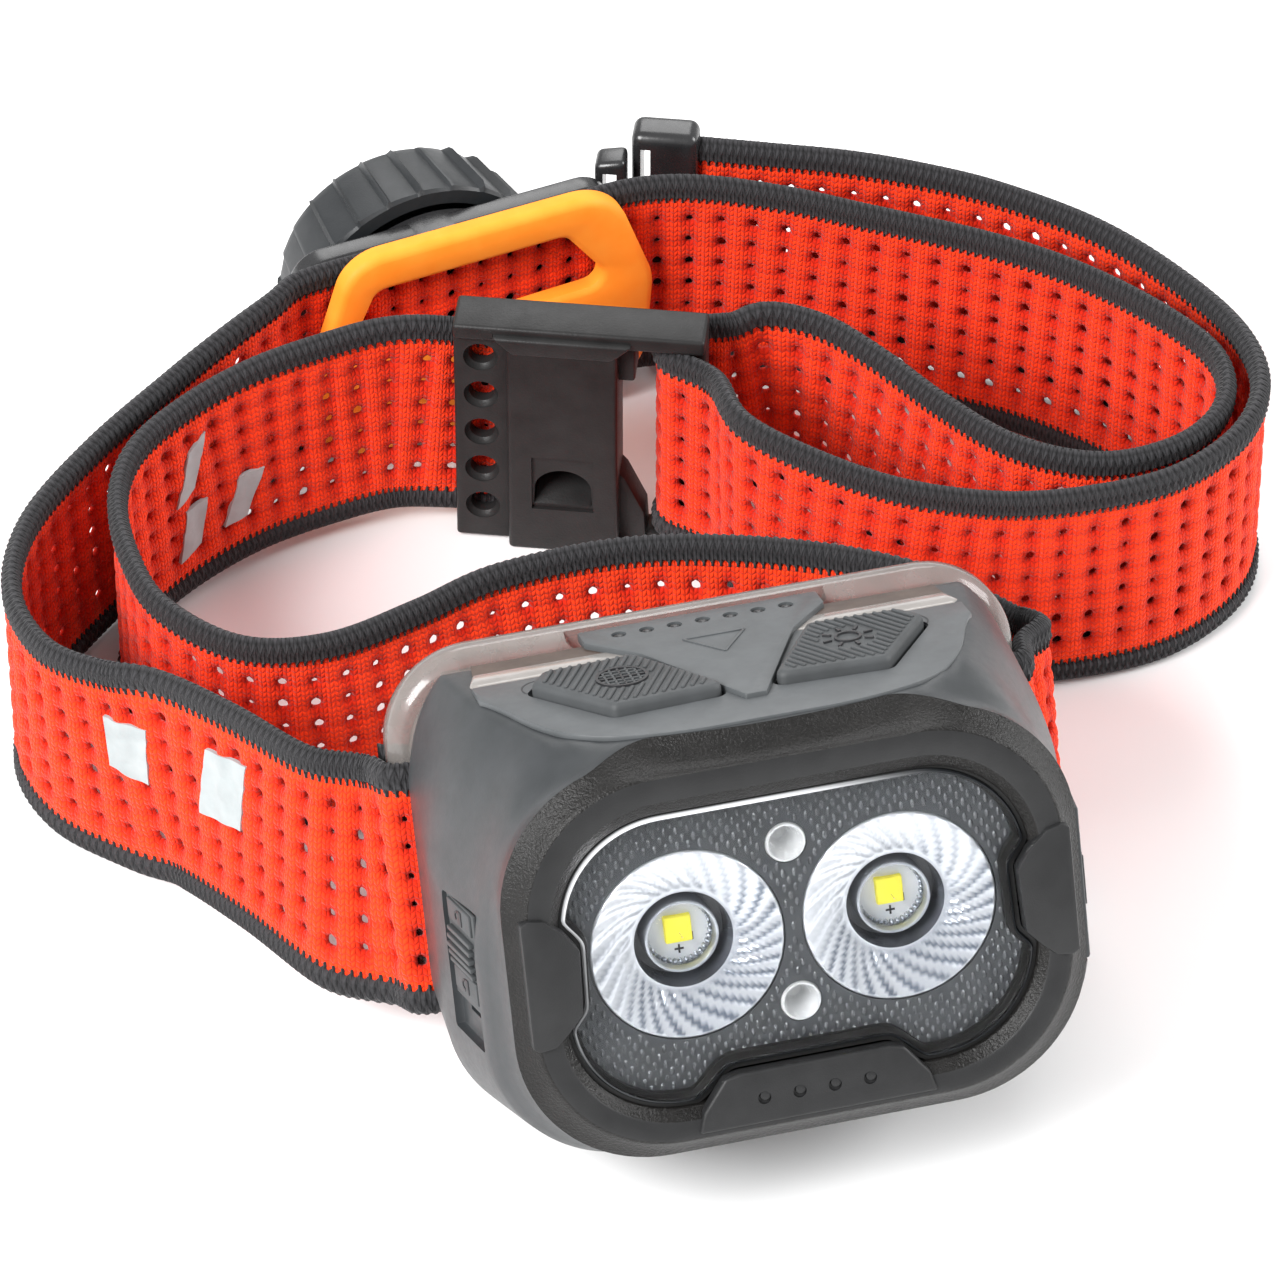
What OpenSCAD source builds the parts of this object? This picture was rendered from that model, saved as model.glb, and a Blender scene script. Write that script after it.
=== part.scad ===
/* [Lamp body] */
// Width of the housing at its widest, across both flanks
body_w = 59.5; // [58:0.5:61]
// Height of the flat top above the middle of the optics
top_z = 20; // [19.5:0.1:20.5]
// Depth of the housing behind the face
body_d = 28.5; // [28:0.1:29]
// Wall of the moulded shell
wall = 1.8; // [1.5:0.1:2]
// How far the lamp leans back as it stands
lean = 23; // [18:1:28]

/* [Optics] */
// Distance from the middle of the lamp to each optic's axis
optic_x = 9.9; // [9.6:0.1:10.2]
// Radius of each optic's front rim
optic_r = 9; // [8.6:0.1:9.2]
// Height of the upper red light above the middle
red_top_z = 8.1; // [7.8:0.1:8.4]
// Height of the lower red light below the middle
red_low_z = 7.4; // [7.1:0.1:7.7]

/* [Controls] */
// Travel of the two top buttons
button_travel = 0.7; // [0.5:0.1:0.8]
// Travel of the lock slider
lock_travel = 3.2; // [2.8:0.1:3.3]

/* [Tilt hinge] */
// Distance of the hinge axis behind the face
hinge_y = 31.8; // [31.5:0.1:32]
// Distance of the hinge axis below the middle of the optics
hinge_drop = 19.5; // [19:0.1:20]
// Radius of the hinge pin
pin_r = 1; // [0.9:0.05:1.1]
// Radius of the knuckles round the hinge pin
knuckle_r = 3; // [2.8:0.1:3.1]

/* [Headband] */
// Width of the elastic band
band_w = 25; // [24:0.5:25]
// Thickness of the elastic band
band_t = 1.6; // [1.4:0.1:1.8]

/* [Dial] */
// Outer radius of the adjusting knob
knob_r = 14; // [13:0.1:14.4]
// Height of the knob off its base
knob_h = 9; // [8:0.5:11]

/* [Hidden] */
$fn = 48;
eps = 0.01;
gap = 0.2;

// Moves the whole object so that the middle of its box stands over the origin
mid_x = -0.74;
mid_y = 1.17;

// Where the middle of the lamp's face stands: the hinge knuckles rest on the floor
lamp_x = -4;
lamp_y = -60;
lamp_z = sin(lean) * hinge_y + cos(lean) * hinge_drop + knuckle_r;

// Stations of the housing: [y, width, lowest z, highest z, corner radius]
front_y = 3;
housing_stations = [[front_y, body_w - 4.7, -20, top_z - 0.9, 13],
                    [6, body_w - 3, -20.8, top_z, 12.5],
                    [18, body_w, -22.2, top_z, 12],
                    [body_d, body_w - 1.5, -21.5, top_z, 11]];
flank_angle = atan(1.5 / 12);
flank_y = 11;
flank_x = body_w / 2 - 7 / 12 * 1.5;
flank_z = -2.5;
port_y = -2.4;
cover_hinge_y = 6.5;
cover_hinge_x = -0.35;

// The window in the bezel
window_w = 43.6;
window_low = -14.6;
window_high = 13.7;
window_r = 10;
bezel_front = -1.2;
lens_t = 1.2;
gasket_t = 0.7;
mask_t = 1;
mask_y = lens_t + gasket_t + 0.1;
board_y = 11.5;
board_t = 1.5;

// The bracket behind the lamp, and the tongue of the top panel that reaches it
tongue_y = 30.2;
bracket_y = 30.5;
bracket_t = 3;
bracket_w = 60;
bracket_low = -16.4;
bracket_high = 20.5;
bracket_bar = 5.2;
slot_x = 25.4;
bar_x = 27;
slot_low = -14.2;
slot_high = 11.4;
slot_mid = (slot_low + slot_high) / 2;
loop_t = 1.3;
ear_x = 13;
ear_w = 3.6;
lug_w = 4;

// The buckle's own frame: u along the band, v away from the wearer's side, w up
buckle_pos = [-12.6, 36.1, 0];
buckle_turn = -21;
buckle_w = 25;
buckle_h = 28.4;
buckle_back = 3.2;
pocket_v = 1.6;
buckle_band_z = 14;
buckle_slot_low = 1.3;
buckle_slot_high = 26.7;

// The dial's own frame: u along the band, v outward, w up
dial_pos = [-8, 51.2, 0];
dial_turn = 9;
dial_u = -2.5;
dial_z = 14.6;
boss_r = 11.4;
base_v = 1.1;
base_t = 3.2;
base_plate_t = 2.4;
screw_places = [[-13.2, 22.4], [14, 22], [-13.2, 6.6], [13.4, 7]];
spool_r = 7.9;
plate_v = -1.3;
plate_t = 2;
screw_tip_v = plate_v - plate_t + 0.6;
knob_v = base_v + base_t + 0.3;

// The slide adjuster at the end of the tail
adjuster_pos = [15, 59.2, 0];
adjuster_turn = -21;

// A point of the lamp's frame in the object's frame
function from_lamp(p) = [lamp_x + p.x,
                         lamp_y + cos(lean) * p.y + sin(lean) * p.z,
                         lamp_z - sin(lean) * p.y + cos(lean) * p.z];
// A point of the buckle's frame, given by u, v and the height of the band's middle
function from_buckle(u, v, z) = [buckle_pos.x + cos(buckle_turn) * u - sin(buckle_turn) * v,
                                 buckle_pos.y + sin(buckle_turn) * u + cos(buckle_turn) * v, z];
// A point of the slide adjuster's frame
function from_adjuster(u, v, z) = [adjuster_pos.x + cos(adjuster_turn) * u - sin(adjuster_turn) * v,
                                   adjuster_pos.y + sin(adjuster_turn) * u + cos(adjuster_turn) * v, z];
function with_lean(p, a) = [p.x, p.y, p.z, a];

// Middle lines of the two bands. Each point is [x, y, z, lean of the band's width]
band_start = with_lean(from_lamp([-32.7, 34.1, slot_mid]), lean);
left_run = [band_start, [-41, -25.5, 18, 21], [-46, -16, 16.5, 14], [-50.8, -8, 15, 8],
            [-55, -3.3, 13.5, 4], [-60.3, 3.5, 12.6, 0]];
left_turn = [[-60.3, 3.5, 12.6, 0], [-62, 12, 12.6, 0], [-58.5, 21.5, 12.6, 0],
             [-50.5, 30, 13, 0], [-41, 37.4, 13.5, 0], [-34, 42.3, 14, 0], [-28.4, 46.2, 14, 0]];
back_run = [[-28.4, 46.2, 14, 0], [-25.6, 48.3, 14, 0], [-17, 49.8, 14, 0], [-8, 51.2, 14, 0],
            [2, 52.8, 14, 0], [9.8, 54, 14, 0], [16.5, 52.9, 14, 0], [24, 49.6, 13.8, 0],
            [31, 45.6, 13.4, 0]];
right_turn = [[31, 45.6, 13.4, 0], [44, 37.2, 13, 0], [52, 30, 12.6, 0], [57.8, 21.5, 12.6, 0],
              [60, 15, 12.6, 0], [58.2, 8.6, 12.6, 0], [52.5, 4.4, 12.6, 0], [44.5, 3.8, 12.6, 0]];
to_buckle = [[44.5, 3.8, 12.6, 0], [37, 8, 12.8, 0], [31.5, 15.5, 13.2, 0], [27, 23, 14, 0],
             [23, 28.5, 14.4, 0], [18.5, 31.6, 14.4, 0],
             with_lean(from_buckle(27.4, 5.5, buckle_band_z), 0)];
fold_points = [[27.4, 5.5], [23.6, 4.5], [21.2, 3.5], [20.3, 1.5], [21.2, -0.6], [23.6, -1.7],
               [26.4, -3.6]];
fold_run = [for (p = fold_points) with_lean(from_buckle(p.x, p.y, buckle_band_z), 0)];
tail_front = [with_lean(from_buckle(26.4, -3.6, buckle_band_z), 0), [11.5, 16.5, 14.4, 0],
              [16.5, 10, 14.2, 0], [24, 4, 13.6, 0], [33, 0.6, 12.8, 0], [42, -0.6, 12.6, 0]];
tail_turn = [[42, -0.6, 12.6, 0], [51, 0.2, 12.6, 0], [58.8, 4.6, 12.6, 0], [62.9, 11, 12.6, 0],
             [63.2, 19, 12.6, 0], [59.8, 28, 12.8, 0], [54, 37, 13.2, 0]];
tail_back = [[54, 37, 13.2, 0], [46, 44.7, 13.5, 0], [39, 49.3, 13.8, 0], [32.5, 52.7, 14, 0],
             [25.5, 55.7, 14, 0],
             with_lean(from_adjuster(3.6, 0.7, 14), 0), with_lean(from_adjuster(1.3, 0.7, 14), 0)];
side_buckle = [with_lean(from_buckle(4.6, pocket_v, buckle_band_z), 0),
               with_lean(from_buckle(-0.8, pocket_v, buckle_band_z), 0), [-18.5, 38.9, 14.4, 0],
               [-25, 38.4, 14.2, 0], [-33, 36.6, 14, 0], [-40.5, 33.4, 13.4, 0]];
side_turn = [[-40.5, 33.4, 13.4, 0], [-46.3, 29, 13, 0], [-49.5, 22.5, 12.6, 0],
             [-50, 14, 12.6, 0], [-48.4, 6.5, 12.6, 0], [-42.5, -0.6, 12.6, 0], [-34.3, -3, 12.8, 2]];
side_front = [[-34.3, -3, 12.8, 2], [-25, -1.6, 13.2, 5], [-16, 0, 14, 8], [-3, -1.4, 15, 12],
              [10, -6.8, 16, 16]];
side_end = with_lean(from_lamp([32, 35.2, slot_mid]), lean);
side_right = [[10, -6.8, 16, 16], [20, -13.6, 16.8, 18], with_lean(from_lamp([31.2, 43, -0.8]), 21),
              with_lean(from_lamp([34.8, 38.6, slot_mid]), lean), side_end];
long_band = [left_run, left_turn, back_run, right_turn, to_buckle, fold_run, tail_front, tail_turn,
             tail_back];
side_band = [side_buckle, side_turn, side_front, side_right];
ring_steps = 4;

// Smooth curve through a run's points, eased into its neighbours' first points
function spline(a, b, c, d, t) = 0.5 * (2 * b + (c - a) * t + (2 * a - 5 * b + 4 * c - d) * t * t
                                        + (3 * b - a - 3 * c + d) * t * t * t);
function near_end(run, next) = next == undef ? 2 * run[len(run) - 1] - run[len(run) - 2] : next[1];
function near_start(run, last) = last == undef ? 2 * run[0] - run[1] : last[len(last) - 2];
function padded(run, last, next) = concat([near_start(run, last)], run, [near_end(run, next)]);
function curve(p) = concat([for (i = [1 : len(p) - 3], k = [0 : ring_steps - 1])
                            spline(p[i - 1], p[i], p[i + 1], p[i + 2], k / ring_steps)],
                           [p[len(p) - 2]]);
function run_curve(runs, i) = curve(padded(runs[i], runs[i - 1], runs[i + 1]));
function xyz(p) = [p.x, p.y, p.z];
function unit(v) = v / norm(v);
function tangent(path, last, next, i) = unit(xyz(i < len(path) - 1 ? path[i + 1] : next)
                                             - xyz(i > 0 ? path[i - 1] : last));
function band_ring(p, t) = let (lean_up = [0, sin(p[3]), cos(p[3])],
                                up = unit(lean_up - t * (lean_up * t)), n = cross(t, up),
                                hw = band_w / 2, ht = band_t / 2)
    [xyz(p) - n * ht - up * hw, xyz(p) + n * ht - up * hw,
     xyz(p) + n * ht + up * hw, xyz(p) - n * ht + up * hw];

// One stretch of a band, as a closed strip swept along its curve
module band_piece(runs, i) {
    path = run_curve(runs, i);
    before = i > 0 ? run_curve(runs, i - 1) : undef;
    after = i < len(runs) - 1 ? run_curve(runs, i + 1) : undef;
    first = before == undef ? 2 * path[0] - path[1] : before[len(before) - 2];
    last = after == undef ? 2 * path[len(path) - 1] - path[len(path) - 2] : after[1];
    rings = [for (k = [0 : len(path) - 1]) band_ring(path[k], tangent(path, first, last, k))];
    points = [for (r = rings, q = r) q];
    n = len(path);
    sides = [for (k = [0 : n - 2], j = [0 : 3], h = [0, 1]) let (a = 4 * k + j, b = 4 * k + (j + 1) % 4)
             h == 0 ? [a, b, b + 4] : [a, b + 4, a + 4]];
    caps = [[0, 3, 2], [0, 2, 1], [4 * n - 4, 4 * n - 3, 4 * n - 2], [4 * n - 4, 4 * n - 2, 4 * n - 1]];
    color("orangered") centred() polyhedron(points, concat(sides, caps));
}

module centred() { translate([mid_x, mid_y, 0]) children(); }
module in_lamp() { centred() translate([lamp_x, lamp_y, lamp_z]) rotate([-lean, 0, 0]) children(); }
module in_buckle() { centred() translate(buckle_pos) rotate([0, 0, buckle_turn]) children(); }
module in_dial() { centred() translate(dial_pos) rotate([0, 0, dial_turn]) children(); }
module in_adjuster() { centred() translate(adjuster_pos) rotate([0, 0, adjuster_turn]) children(); }
// A flank of the lamp: x outward, y towards the back, z up the face. side is -1 for the left
module on_flank(side) {
    translate([side * flank_x, flank_y, flank_z]) rotate([0, 0, side > 0 ? -flank_angle : flank_angle])
        mirror([side > 0 ? 0 : 1, 0, 0]) children();
}
// Extrudes an outline drawn in x and z from y = y0 to y = y1
module face_extrude(y0, y1) { translate([0, y1, 0]) rotate([90, 0, 0]) linear_extrude(y1 - y0) children(); }
// Extrudes an outline drawn in x and y from z = z0 to z = z1
module rise(z0, z1) { translate([0, 0, z0]) linear_extrude(z1 - z0) children(); }
// A turned shape along y
module turned(y0, y1, r0, r1) {
    translate([0, y0, 0]) rotate([-90, 0, 0]) cylinder(h = y1 - y0, r1 = r0, r2 = r1);
}
module along_x(x0, x1, r) { translate([x0, 0, 0]) rotate([0, 90, 0]) cylinder(h = x1 - x0, r = r); }

module rounded(w, h, r) {
    square([w - 2 * r, h], center = true);
    square([w, h - 2 * r], center = true);
    for (sx = [-1, 1], sy = [-1, 1]) translate([sx * (w / 2 - r), sy * (h / 2 - r)]) circle(r);
}
module rounded_z(w, low, high, r) { translate([0, (low + high) / 2]) rounded(w, high - low, r); }

module loft(stations, inset) {
    hull() for (s = stations)
        face_extrude(s[0] - eps, s[0] + eps)
            rounded_z(s[1] - 2 * inset, s[2] + inset, s[3] - inset, s[4] - inset, $fn = 32);
}

// Outline of the bezel's opening, with the notches of the side pads and the lower bumper
module window_outline(grow) {
    difference() {
        rounded_z(window_w + 2 * grow, window_low - grow, window_high + grow, window_r + grow);
        for (s = [-1, 1]) scale([s, 1])
            polygon([[21.9, 4.8], [20.1 + grow, 2.7], [20.4 + grow, -3.9],
                     [21.9, -5.6], [24, -5.6], [24, 4.8]]);
        polygon([[-10, window_low], [-7.3, -12.2 - grow], [7.3, -12.2 - grow], [10, window_low],
                 [10, window_low - 3], [-10, window_low - 3]]);
    }
}

module front_bezel() {
    color("#26282a") in_lamp() difference() {
        union() {
            hull() {
                face_extrude(bezel_front, bezel_front + eps) rounded_z(49, -17.4, 16.4, 11.2, $fn = 32);
                face_extrude(0.4, front_y - eps) rounded_z(54, -19.8, 18.8, 13, $fn = 32);
            }
            for (s = [-1, 1]) translate([s * 24.4, bezel_front / 2, -0.4]) cube([5, 2, 10.4], center = true);
            face_extrude(bezel_front - 0.6, 0.4)
                polygon([[-9.5, -17.6], [-7.2, -12.6], [7.2, -12.6], [9.5, -17.6]]);
        }
        face_extrude(bezel_front - 2, 0) window_outline(0);
        face_extrude(0, front_y + 1) window_outline(1);
        for (i = [-1.5 : 1.5]) translate([i * 3.3, 0, -15.6])
            turned(bezel_front - 1, bezel_front - 0.2, 0.6, 0.6);
    }
}
module lens_window() { color("#8a9096") in_lamp() face_extrude(0.05, lens_t) window_outline(0.85); }
module lens_gasket() {
    color("#101112") in_lamp() face_extrude(lens_t, lens_t + gasket_t) difference() {
        window_outline(0.85);
        window_outline(-0.9);
    }
}
module optic_mask() {
    color("#3b3f43") in_lamp() difference() {
        face_extrude(mask_y, mask_y + mask_t) window_outline(0.85);
        for (s = [-1, 1]) translate([s * optic_x, 0, 0]) turned(0, 5, optic_r + 0.1, optic_r + 0.1);
        for (z = [red_top_z, -red_low_z]) translate([0, 0, z]) turned(0, 5, 1.9, 1.9);
    }
}
// A clear moulded optic that gathers the light of one LED
module optic(x) {
    color("#dfe7ee") in_lamp() translate([x, 0, 0]) difference() {
        union() {
            turned(mask_y, mask_y + 1.2, optic_r, optic_r);
            turned(mask_y + 1.2, board_y - 1, optic_r - 0.4, 4.4);
        }
        turned(mask_y - 1, mask_y + 3, 4.5, 3.9);
        turned(board_y - 4.5, board_y, 2.6, 2.9);
    }
}
module optic_left() { optic(-optic_x); }
module optic_right() { optic(optic_x); }
module red_reflectors() {
    color("#d8dadc") in_lamp() for (z = [red_top_z, -red_low_z]) translate([0, 0, z]) difference() {
        turned(mask_y, board_y - 0.1, 1.8, 1.2);
        turned(mask_y - 1, board_y - 1, 1.5, 0.9);
    }
}
module white_leds() {
    color("#f2e24a") in_lamp() for (s = [-1, 1]) translate([s * optic_x, board_y - 0.4, 0])
        cube([3.4, 0.8, 3.4], center = true);
}
module red_leds() {
    color("#d06050") in_lamp() for (z = [red_top_z, -red_low_z]) translate([0, board_y - 0.04, z])
        cube([1.2, 0.08, 1.2], center = true);
}
module led_board() {
    color("#f0f0ec") in_lamp() difference() {
        face_extrude(board_y, board_y + board_t) rounded(40, 22, 2);
        for (s = [-1, 1]) translate([s * 18.2, 0, 9]) turned(0, 20, 1.1, 1.1);
    }
}
module heat_sink() {
    color("#b8bcc0") in_lamp() difference() {
        union() {
            face_extrude(board_y + board_t, board_y + board_t + 1.4) rounded(46, 25, 2);
            for (i = [-3 : 3]) translate([i * 5, board_y + board_t + 1.9, -1]) cube([1, 1, 20], center = true);
        }
        for (s = [-1, 1]) translate([s * 18.2, 0, 9]) turned(board_y, 20, 0.9, 0.9);
    }
}
module heat_sink_screws() {
    color("silver") in_lamp() for (s = [-1, 1]) translate([s * 18.2, 0, 9]) {
        turned(board_y - 0.8, board_y, 1.8, 1.8);
        turned(board_y, board_y + board_t + 1.3, 0.88, 0.88);
    }
}

// Outline of one top button, on the right of the lamp, seen from above
module button_outline(grow) {
    hull() for (p = [[3.4, 10.4], [8.6, 20.2], [16.4, 19.8], [17.6, 18], [12.4, 9.8]])
        translate(p) circle(0.8 + grow, $fn = 32);
}
module panel_outline(grow) {
    translate([0, 18 - grow / 2]) rounded(42 + 2 * grow, 20 + grow, 7);
    translate([-12, 20]) square([24, tongue_y - 20]);
}
module housing_shell() {
    color("#5a5f63") in_lamp() difference() {
        union() {
            difference() {
                loft(housing_stations, 0);
                loft([for (s = housing_stations)
                      [s[0] == body_d ? body_d - wall : s[0] - (s[0] == front_y ? 1 : 0),
                                                  s[1], s[2], s[3], s[4]]], wall);
            }
            for (s = [-1, 1]) translate([s * (ear_x + ear_w / 2), hinge_y, -hinge_drop]) {
                along_x(-ear_w / 2, ear_w / 2, knuckle_r - 0.3);
                translate([-ear_w / 2, body_d - wall - hinge_y, -1.6])
                    cube([ear_w, hinge_y - body_d + wall, 3.2]);
            }
        }
        face_extrude(body_d - wall - 1, body_d + 1) rounded_z(46, -15, 14, 6);
        rise(top_z - 1, top_z + 5) panel_outline(0.1);
        for (s = [0, 1]) mirror([s, 0, 0]) rise(top_z - 5, top_z + 5) button_outline(0.3);
        for (s = [-1, 1]) translate([s * (ear_x + ear_w / 2), hinge_y, -hinge_drop])
            along_x(-ear_w, ear_w, pin_r + 0.05);
        on_flank(-1) {
            translate([-0.9, -3.9, -6.7]) cube([4, 7.8, 13.4]);
            translate([-4, -1.5, -4.5]) cube([6, 3, 9]);
        }
        on_flank(1) {
            translate([-1.1, -6.5, -8]) cube([4, 14.4, 16]);
            translate([-6, port_y - 1.9, -4.8]) cube([8, 3.8, 9.6]);
        }
    }
}
module top_panel() {
    color("#6d7276") in_lamp() difference() {
        union() {
            rise(top_z - 0.95, top_z + 0.05) panel_outline(0);
            rise(top_z, top_z + 0.5) polygon([[-1, 8.4], [-7.2, 22], [-11.4, tongue_y - 3], [-11.4, tongue_y],
                                              [11.4, tongue_y], [11.4, tongue_y - 3], [7.2, 22], [1, 8.4]]);
        }
        for (s = [0, 1]) mirror([s, 0, 0]) rise(top_z - 5, top_z + 5) button_outline(0.3);
        for (i = [-3 : 3]) translate([i * 2.65, tongue_y - 2, top_z]) cylinder(h = 2, r = 0.7);
    }
}
module button() {
    color("#4b4f52") {
        rise(top_z - 2.5, top_z + 1.3) button_outline(0);
        rise(top_z - 2.9, top_z - wall - 0.3) button_outline(0.9);
    }
}
module flood_button() { in_lamp() mirror([1, 0, 0]) button(); }
module spot_button() { in_lamp() button(); }
module button_switches() {
    color("#9a8f6a") in_lamp() for (s = [-1, 1]) translate([s * 10.5, 15, top_z - 5.1]) {
        translate([-2, -2, 0]) cube([4, 4, 0.9]);
        cylinder(h = 2.1 - button_travel, r = 1);
    }
}
module driver_board() {
    color("#2d6e46") in_lamp() {
        translate([-18, 8, top_z - 6.3]) cube([36, 17, 1.2]);
        for (x = [-12, -3, 6]) translate([x, 16, top_z - 7.5]) cube([5, 4, 1.2]);
    }
}
module lock_slider() {
    color("#4b4f52") in_lamp() on_flank(-1) {
        translate([-0.7, -3.6, -6.5 + lock_travel]) cube([0.6, 7.2, 9.8]);
        translate([-0.2, -3, -0.6 + lock_travel / 2])
            for (i = [-1 : 1]) translate([0, 0.4, i * 1.1]) cube([0.5, 5, 0.6]);
        translate([-2.4, -1.2, -4.3 + lock_travel]) cube([2, 2.4, 3.4]);
    }
}
module lock_switch() {
    color("#c8ccd0") in_lamp() on_flank(-1) translate([-5, -2.5, -6]) cube([2.4, 5, 12]);
}
module usb_port() {
    color("silver") in_lamp() on_flank(1) difference() {
        translate([-8.6, port_y, 0]) rotate([0, 90, 0]) linear_extrude(7.3) rounded(9.3, 3.5, 1.7);
        translate([-7.6, port_y, 0]) rotate([0, 90, 0]) linear_extrude(7.3) rounded(8.94, 3.16, 1.55);
    }
}
module port_cover() {
    color("#3a3c3e") in_lamp() on_flank(1) {
        difference() {
            translate([-0.8, -6, -7.5]) cube([1.1, 12, 15]);
            translate([-2, 5.4, -7.8]) cube([3, 2, 3.5]);
            translate([-2, 5.4, 4.3]) cube([3, 2, 3.5]);
        }
        translate([-1.6, port_y - 1.1, -4]) cube([0.9, 2.2, 8]);
        translate([cover_hinge_x, cover_hinge_y, -4.3]) cylinder(h = 8.6, r = 0.6);
    }
}
module battery_pack() { color("#2f5f9e") in_lamp() face_extrude(17, 25.4) rounded_z(42, -14, 11, 3); }
module battery_contacts() {
    color("goldenrod") in_lamp() for (z = [-6, 0, 6]) translate([21.1, 18.5, z - 1]) cube([1.6, 5, 2]);
}
module cover_gasket() {
    color("#101112") in_lamp() face_extrude(25.8, body_d - wall - eps) difference() {
        rounded_z(49, -16.5, 15.5, 7);
        rounded_z(46.2, -15.1, 14.1, 6);
    }
}
module rear_cover() {
    color("#3c3f42") in_lamp() difference() {
        face_extrude(body_d - 2.6, body_d - 0.1) rounded_z(45.8, -14.9, 13.9, 5.9);
        for (s = [-1, 1]) translate([s * 20.5, 0, -0.5]) turned(body_d - 1.2, body_d + 1, 1.7, 1.7);
    }
}
module cover_screws() {
    color("silver") in_lamp() for (s = [-1, 1]) translate([s * 20.5, 0, -0.5]) difference() {
        turned(body_d - 1.2, body_d - 0.3, 1.6, 1.6);
        translate([-1.2, body_d - 0.7, -0.3]) cube([2.4, 1, 0.6]);
    }
}

module bracket_frame() {
    color("#8b8580") in_lamp() difference() {
        union() {
            difference() {
                face_extrude(bracket_y, bracket_y + bracket_t) {
                    rounded_z(bracket_w, bracket_low, bracket_high, 9);
                    rounded_z(bracket_w, bracket_low, 0, 3);
                }
                face_extrude(bracket_y - 1, bracket_y + 5)
                    rounded_z(43, bracket_low + 5, bracket_high - bracket_bar, 5);
                for (s = [-1, 1])
                    translate([s * (slot_x + bar_x) / 2 - (bar_x - slot_x) / 2 - 0.2, bracket_y - 1, slot_low])
                        cube([bar_x - slot_x + 0.4, 5, slot_high - slot_low]);
                face_extrude(bracket_y - 1, bracket_y + 1)
                    polygon([[-12.4, 23], [-12.4, 19.6], [-10.6, 17.6],
                             [10.6, 17.6], [12.4, 19.6], [12.4, 23]]);
            }
            for (s = [-1, 1]) translate([s * (ear_x + ear_w + gap + lug_w / 2), hinge_y, -hinge_drop]) {
                along_x(-lug_w / 2, lug_w / 2, knuckle_r);
                translate([-lug_w / 2, -1.2, 0]) cube([lug_w, 2.9, 5]);
            }
        }
        for (s = [-1, 1]) translate([s * (ear_x + ear_w + gap + lug_w / 2), hinge_y, -hinge_drop])
            along_x(-lug_w, lug_w, pin_r);
    }
}
module tilt_pins() {
    color("silver") in_lamp() for (s = [-1, 1])
        translate([s * (ear_x + (ear_w + gap + lug_w) / 2), hinge_y, -hinge_drop])
            along_x(-(ear_w + gap + lug_w) / 2, (ear_w + gap + lug_w) / 2, pin_r);
}
module detent_spring() {
    color("lightsteelblue") in_lamp() translate([-6, bracket_y - 0.35, bracket_low + 0.4]) cube([12, 0.3, 4]);
}
// The sewn end of a band, wrapped round the bracket's outer bar
module end_loop(s) {
    color("orangered") in_lamp() translate([s * (bar_x + 1.5), bracket_y + bracket_t / 2, 0])
        rise(slot_low + 0.3, slot_high - 0.3) difference() {
            rounded(3.3 + 2 * loop_t, bracket_t + 0.3 + 2 * loop_t, 1.6);
            rounded(3.3, bracket_t + 0.3, 0.4);
        }
}
module end_loop_left() { end_loop(-1); }
module end_loop_right() { end_loop(1); }

module band_left() { band_piece(long_band, 0); }
module band_left_turn() { band_piece(long_band, 1); }
module band_back() { band_piece(long_band, 2); }
module band_right_turn() { band_piece(long_band, 3); }
module band_to_buckle() { band_piece(long_band, 4); }
module band_fold() { band_piece(long_band, 5); }
module band_tail_front() { band_piece(long_band, 6); }
module band_tail_turn() { band_piece(long_band, 7); }
module band_tail_back() { band_piece(long_band, 8); }
module side_band_buckle() { band_piece(side_band, 0); }
module side_band_turn() { band_piece(side_band, 1); }
module side_band_front() { band_piece(side_band, 2); }
module side_band_right() { band_piece(side_band, 3); }

// The buckle that joins the two bands, with a whistle in its middle
module buckle() {
    color("#2b2d2f") in_buckle() difference() {
        union() {
            translate([0, -1.2, 0.3]) cube([6, 1.2 + buckle_back, buckle_slot_high]);
            translate([5.4, -2.4, 0]) cube([11, 2.4 + buckle_back, buckle_slot_high + 0.1]);
            translate([0, -1.6, buckle_slot_high])
                cube([buckle_w, 1.6 + buckle_back, buckle_h - buckle_slot_high]);
            translate([16, -0.6, 22]) cube([2, 3.6, 5.4]);
            translate([16, 0, 0.2]) cube([buckle_w - 16, 3, buckle_slot_low - 0.2]);
            translate([22.4, 0, 0.2]) cube([2.6, 3, buckle_slot_high]);
        }
        translate([-1, pocket_v - 1, buckle_slot_low]) cube([6, 2, buckle_slot_high - buckle_slot_low]);
        for (i = [0 : 4]) translate([2.7, 0, 4.5 + i * 4.9]) turned(-3, 6, 1.35, 1.35);
        translate([11, 0, 8.4]) turned(-4, 2.2, 2.8, 2.8);
        translate([8.2, -4, 5.4]) cube([5.6, 6.2, 3]);
        translate([9, -1, 8]) cube([4, 3.2, 14]);
    }
}
module slide_adjuster() {
    color("#222426") in_adjuster() difference() {
        translate([-3.4, -1.4, 0.2]) cube([6.8, 4, 27.6]);
        translate([-0.2, -0.3, 1.2]) cube([5, 2, 25.6]);
        translate([-2.4, -2, 1.2]) cube([1.4, 5, 25.6]);
    }
}
module band_keeper() {
    color("#222426") in_adjuster() translate([-6.9, -3.6, 0.6]) difference() {
        cube([3.2, 3.2, 25.4]);
        translate([0.9, -1, 2]) cube([1.4, 6, 22.4]);
    }
}

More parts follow.
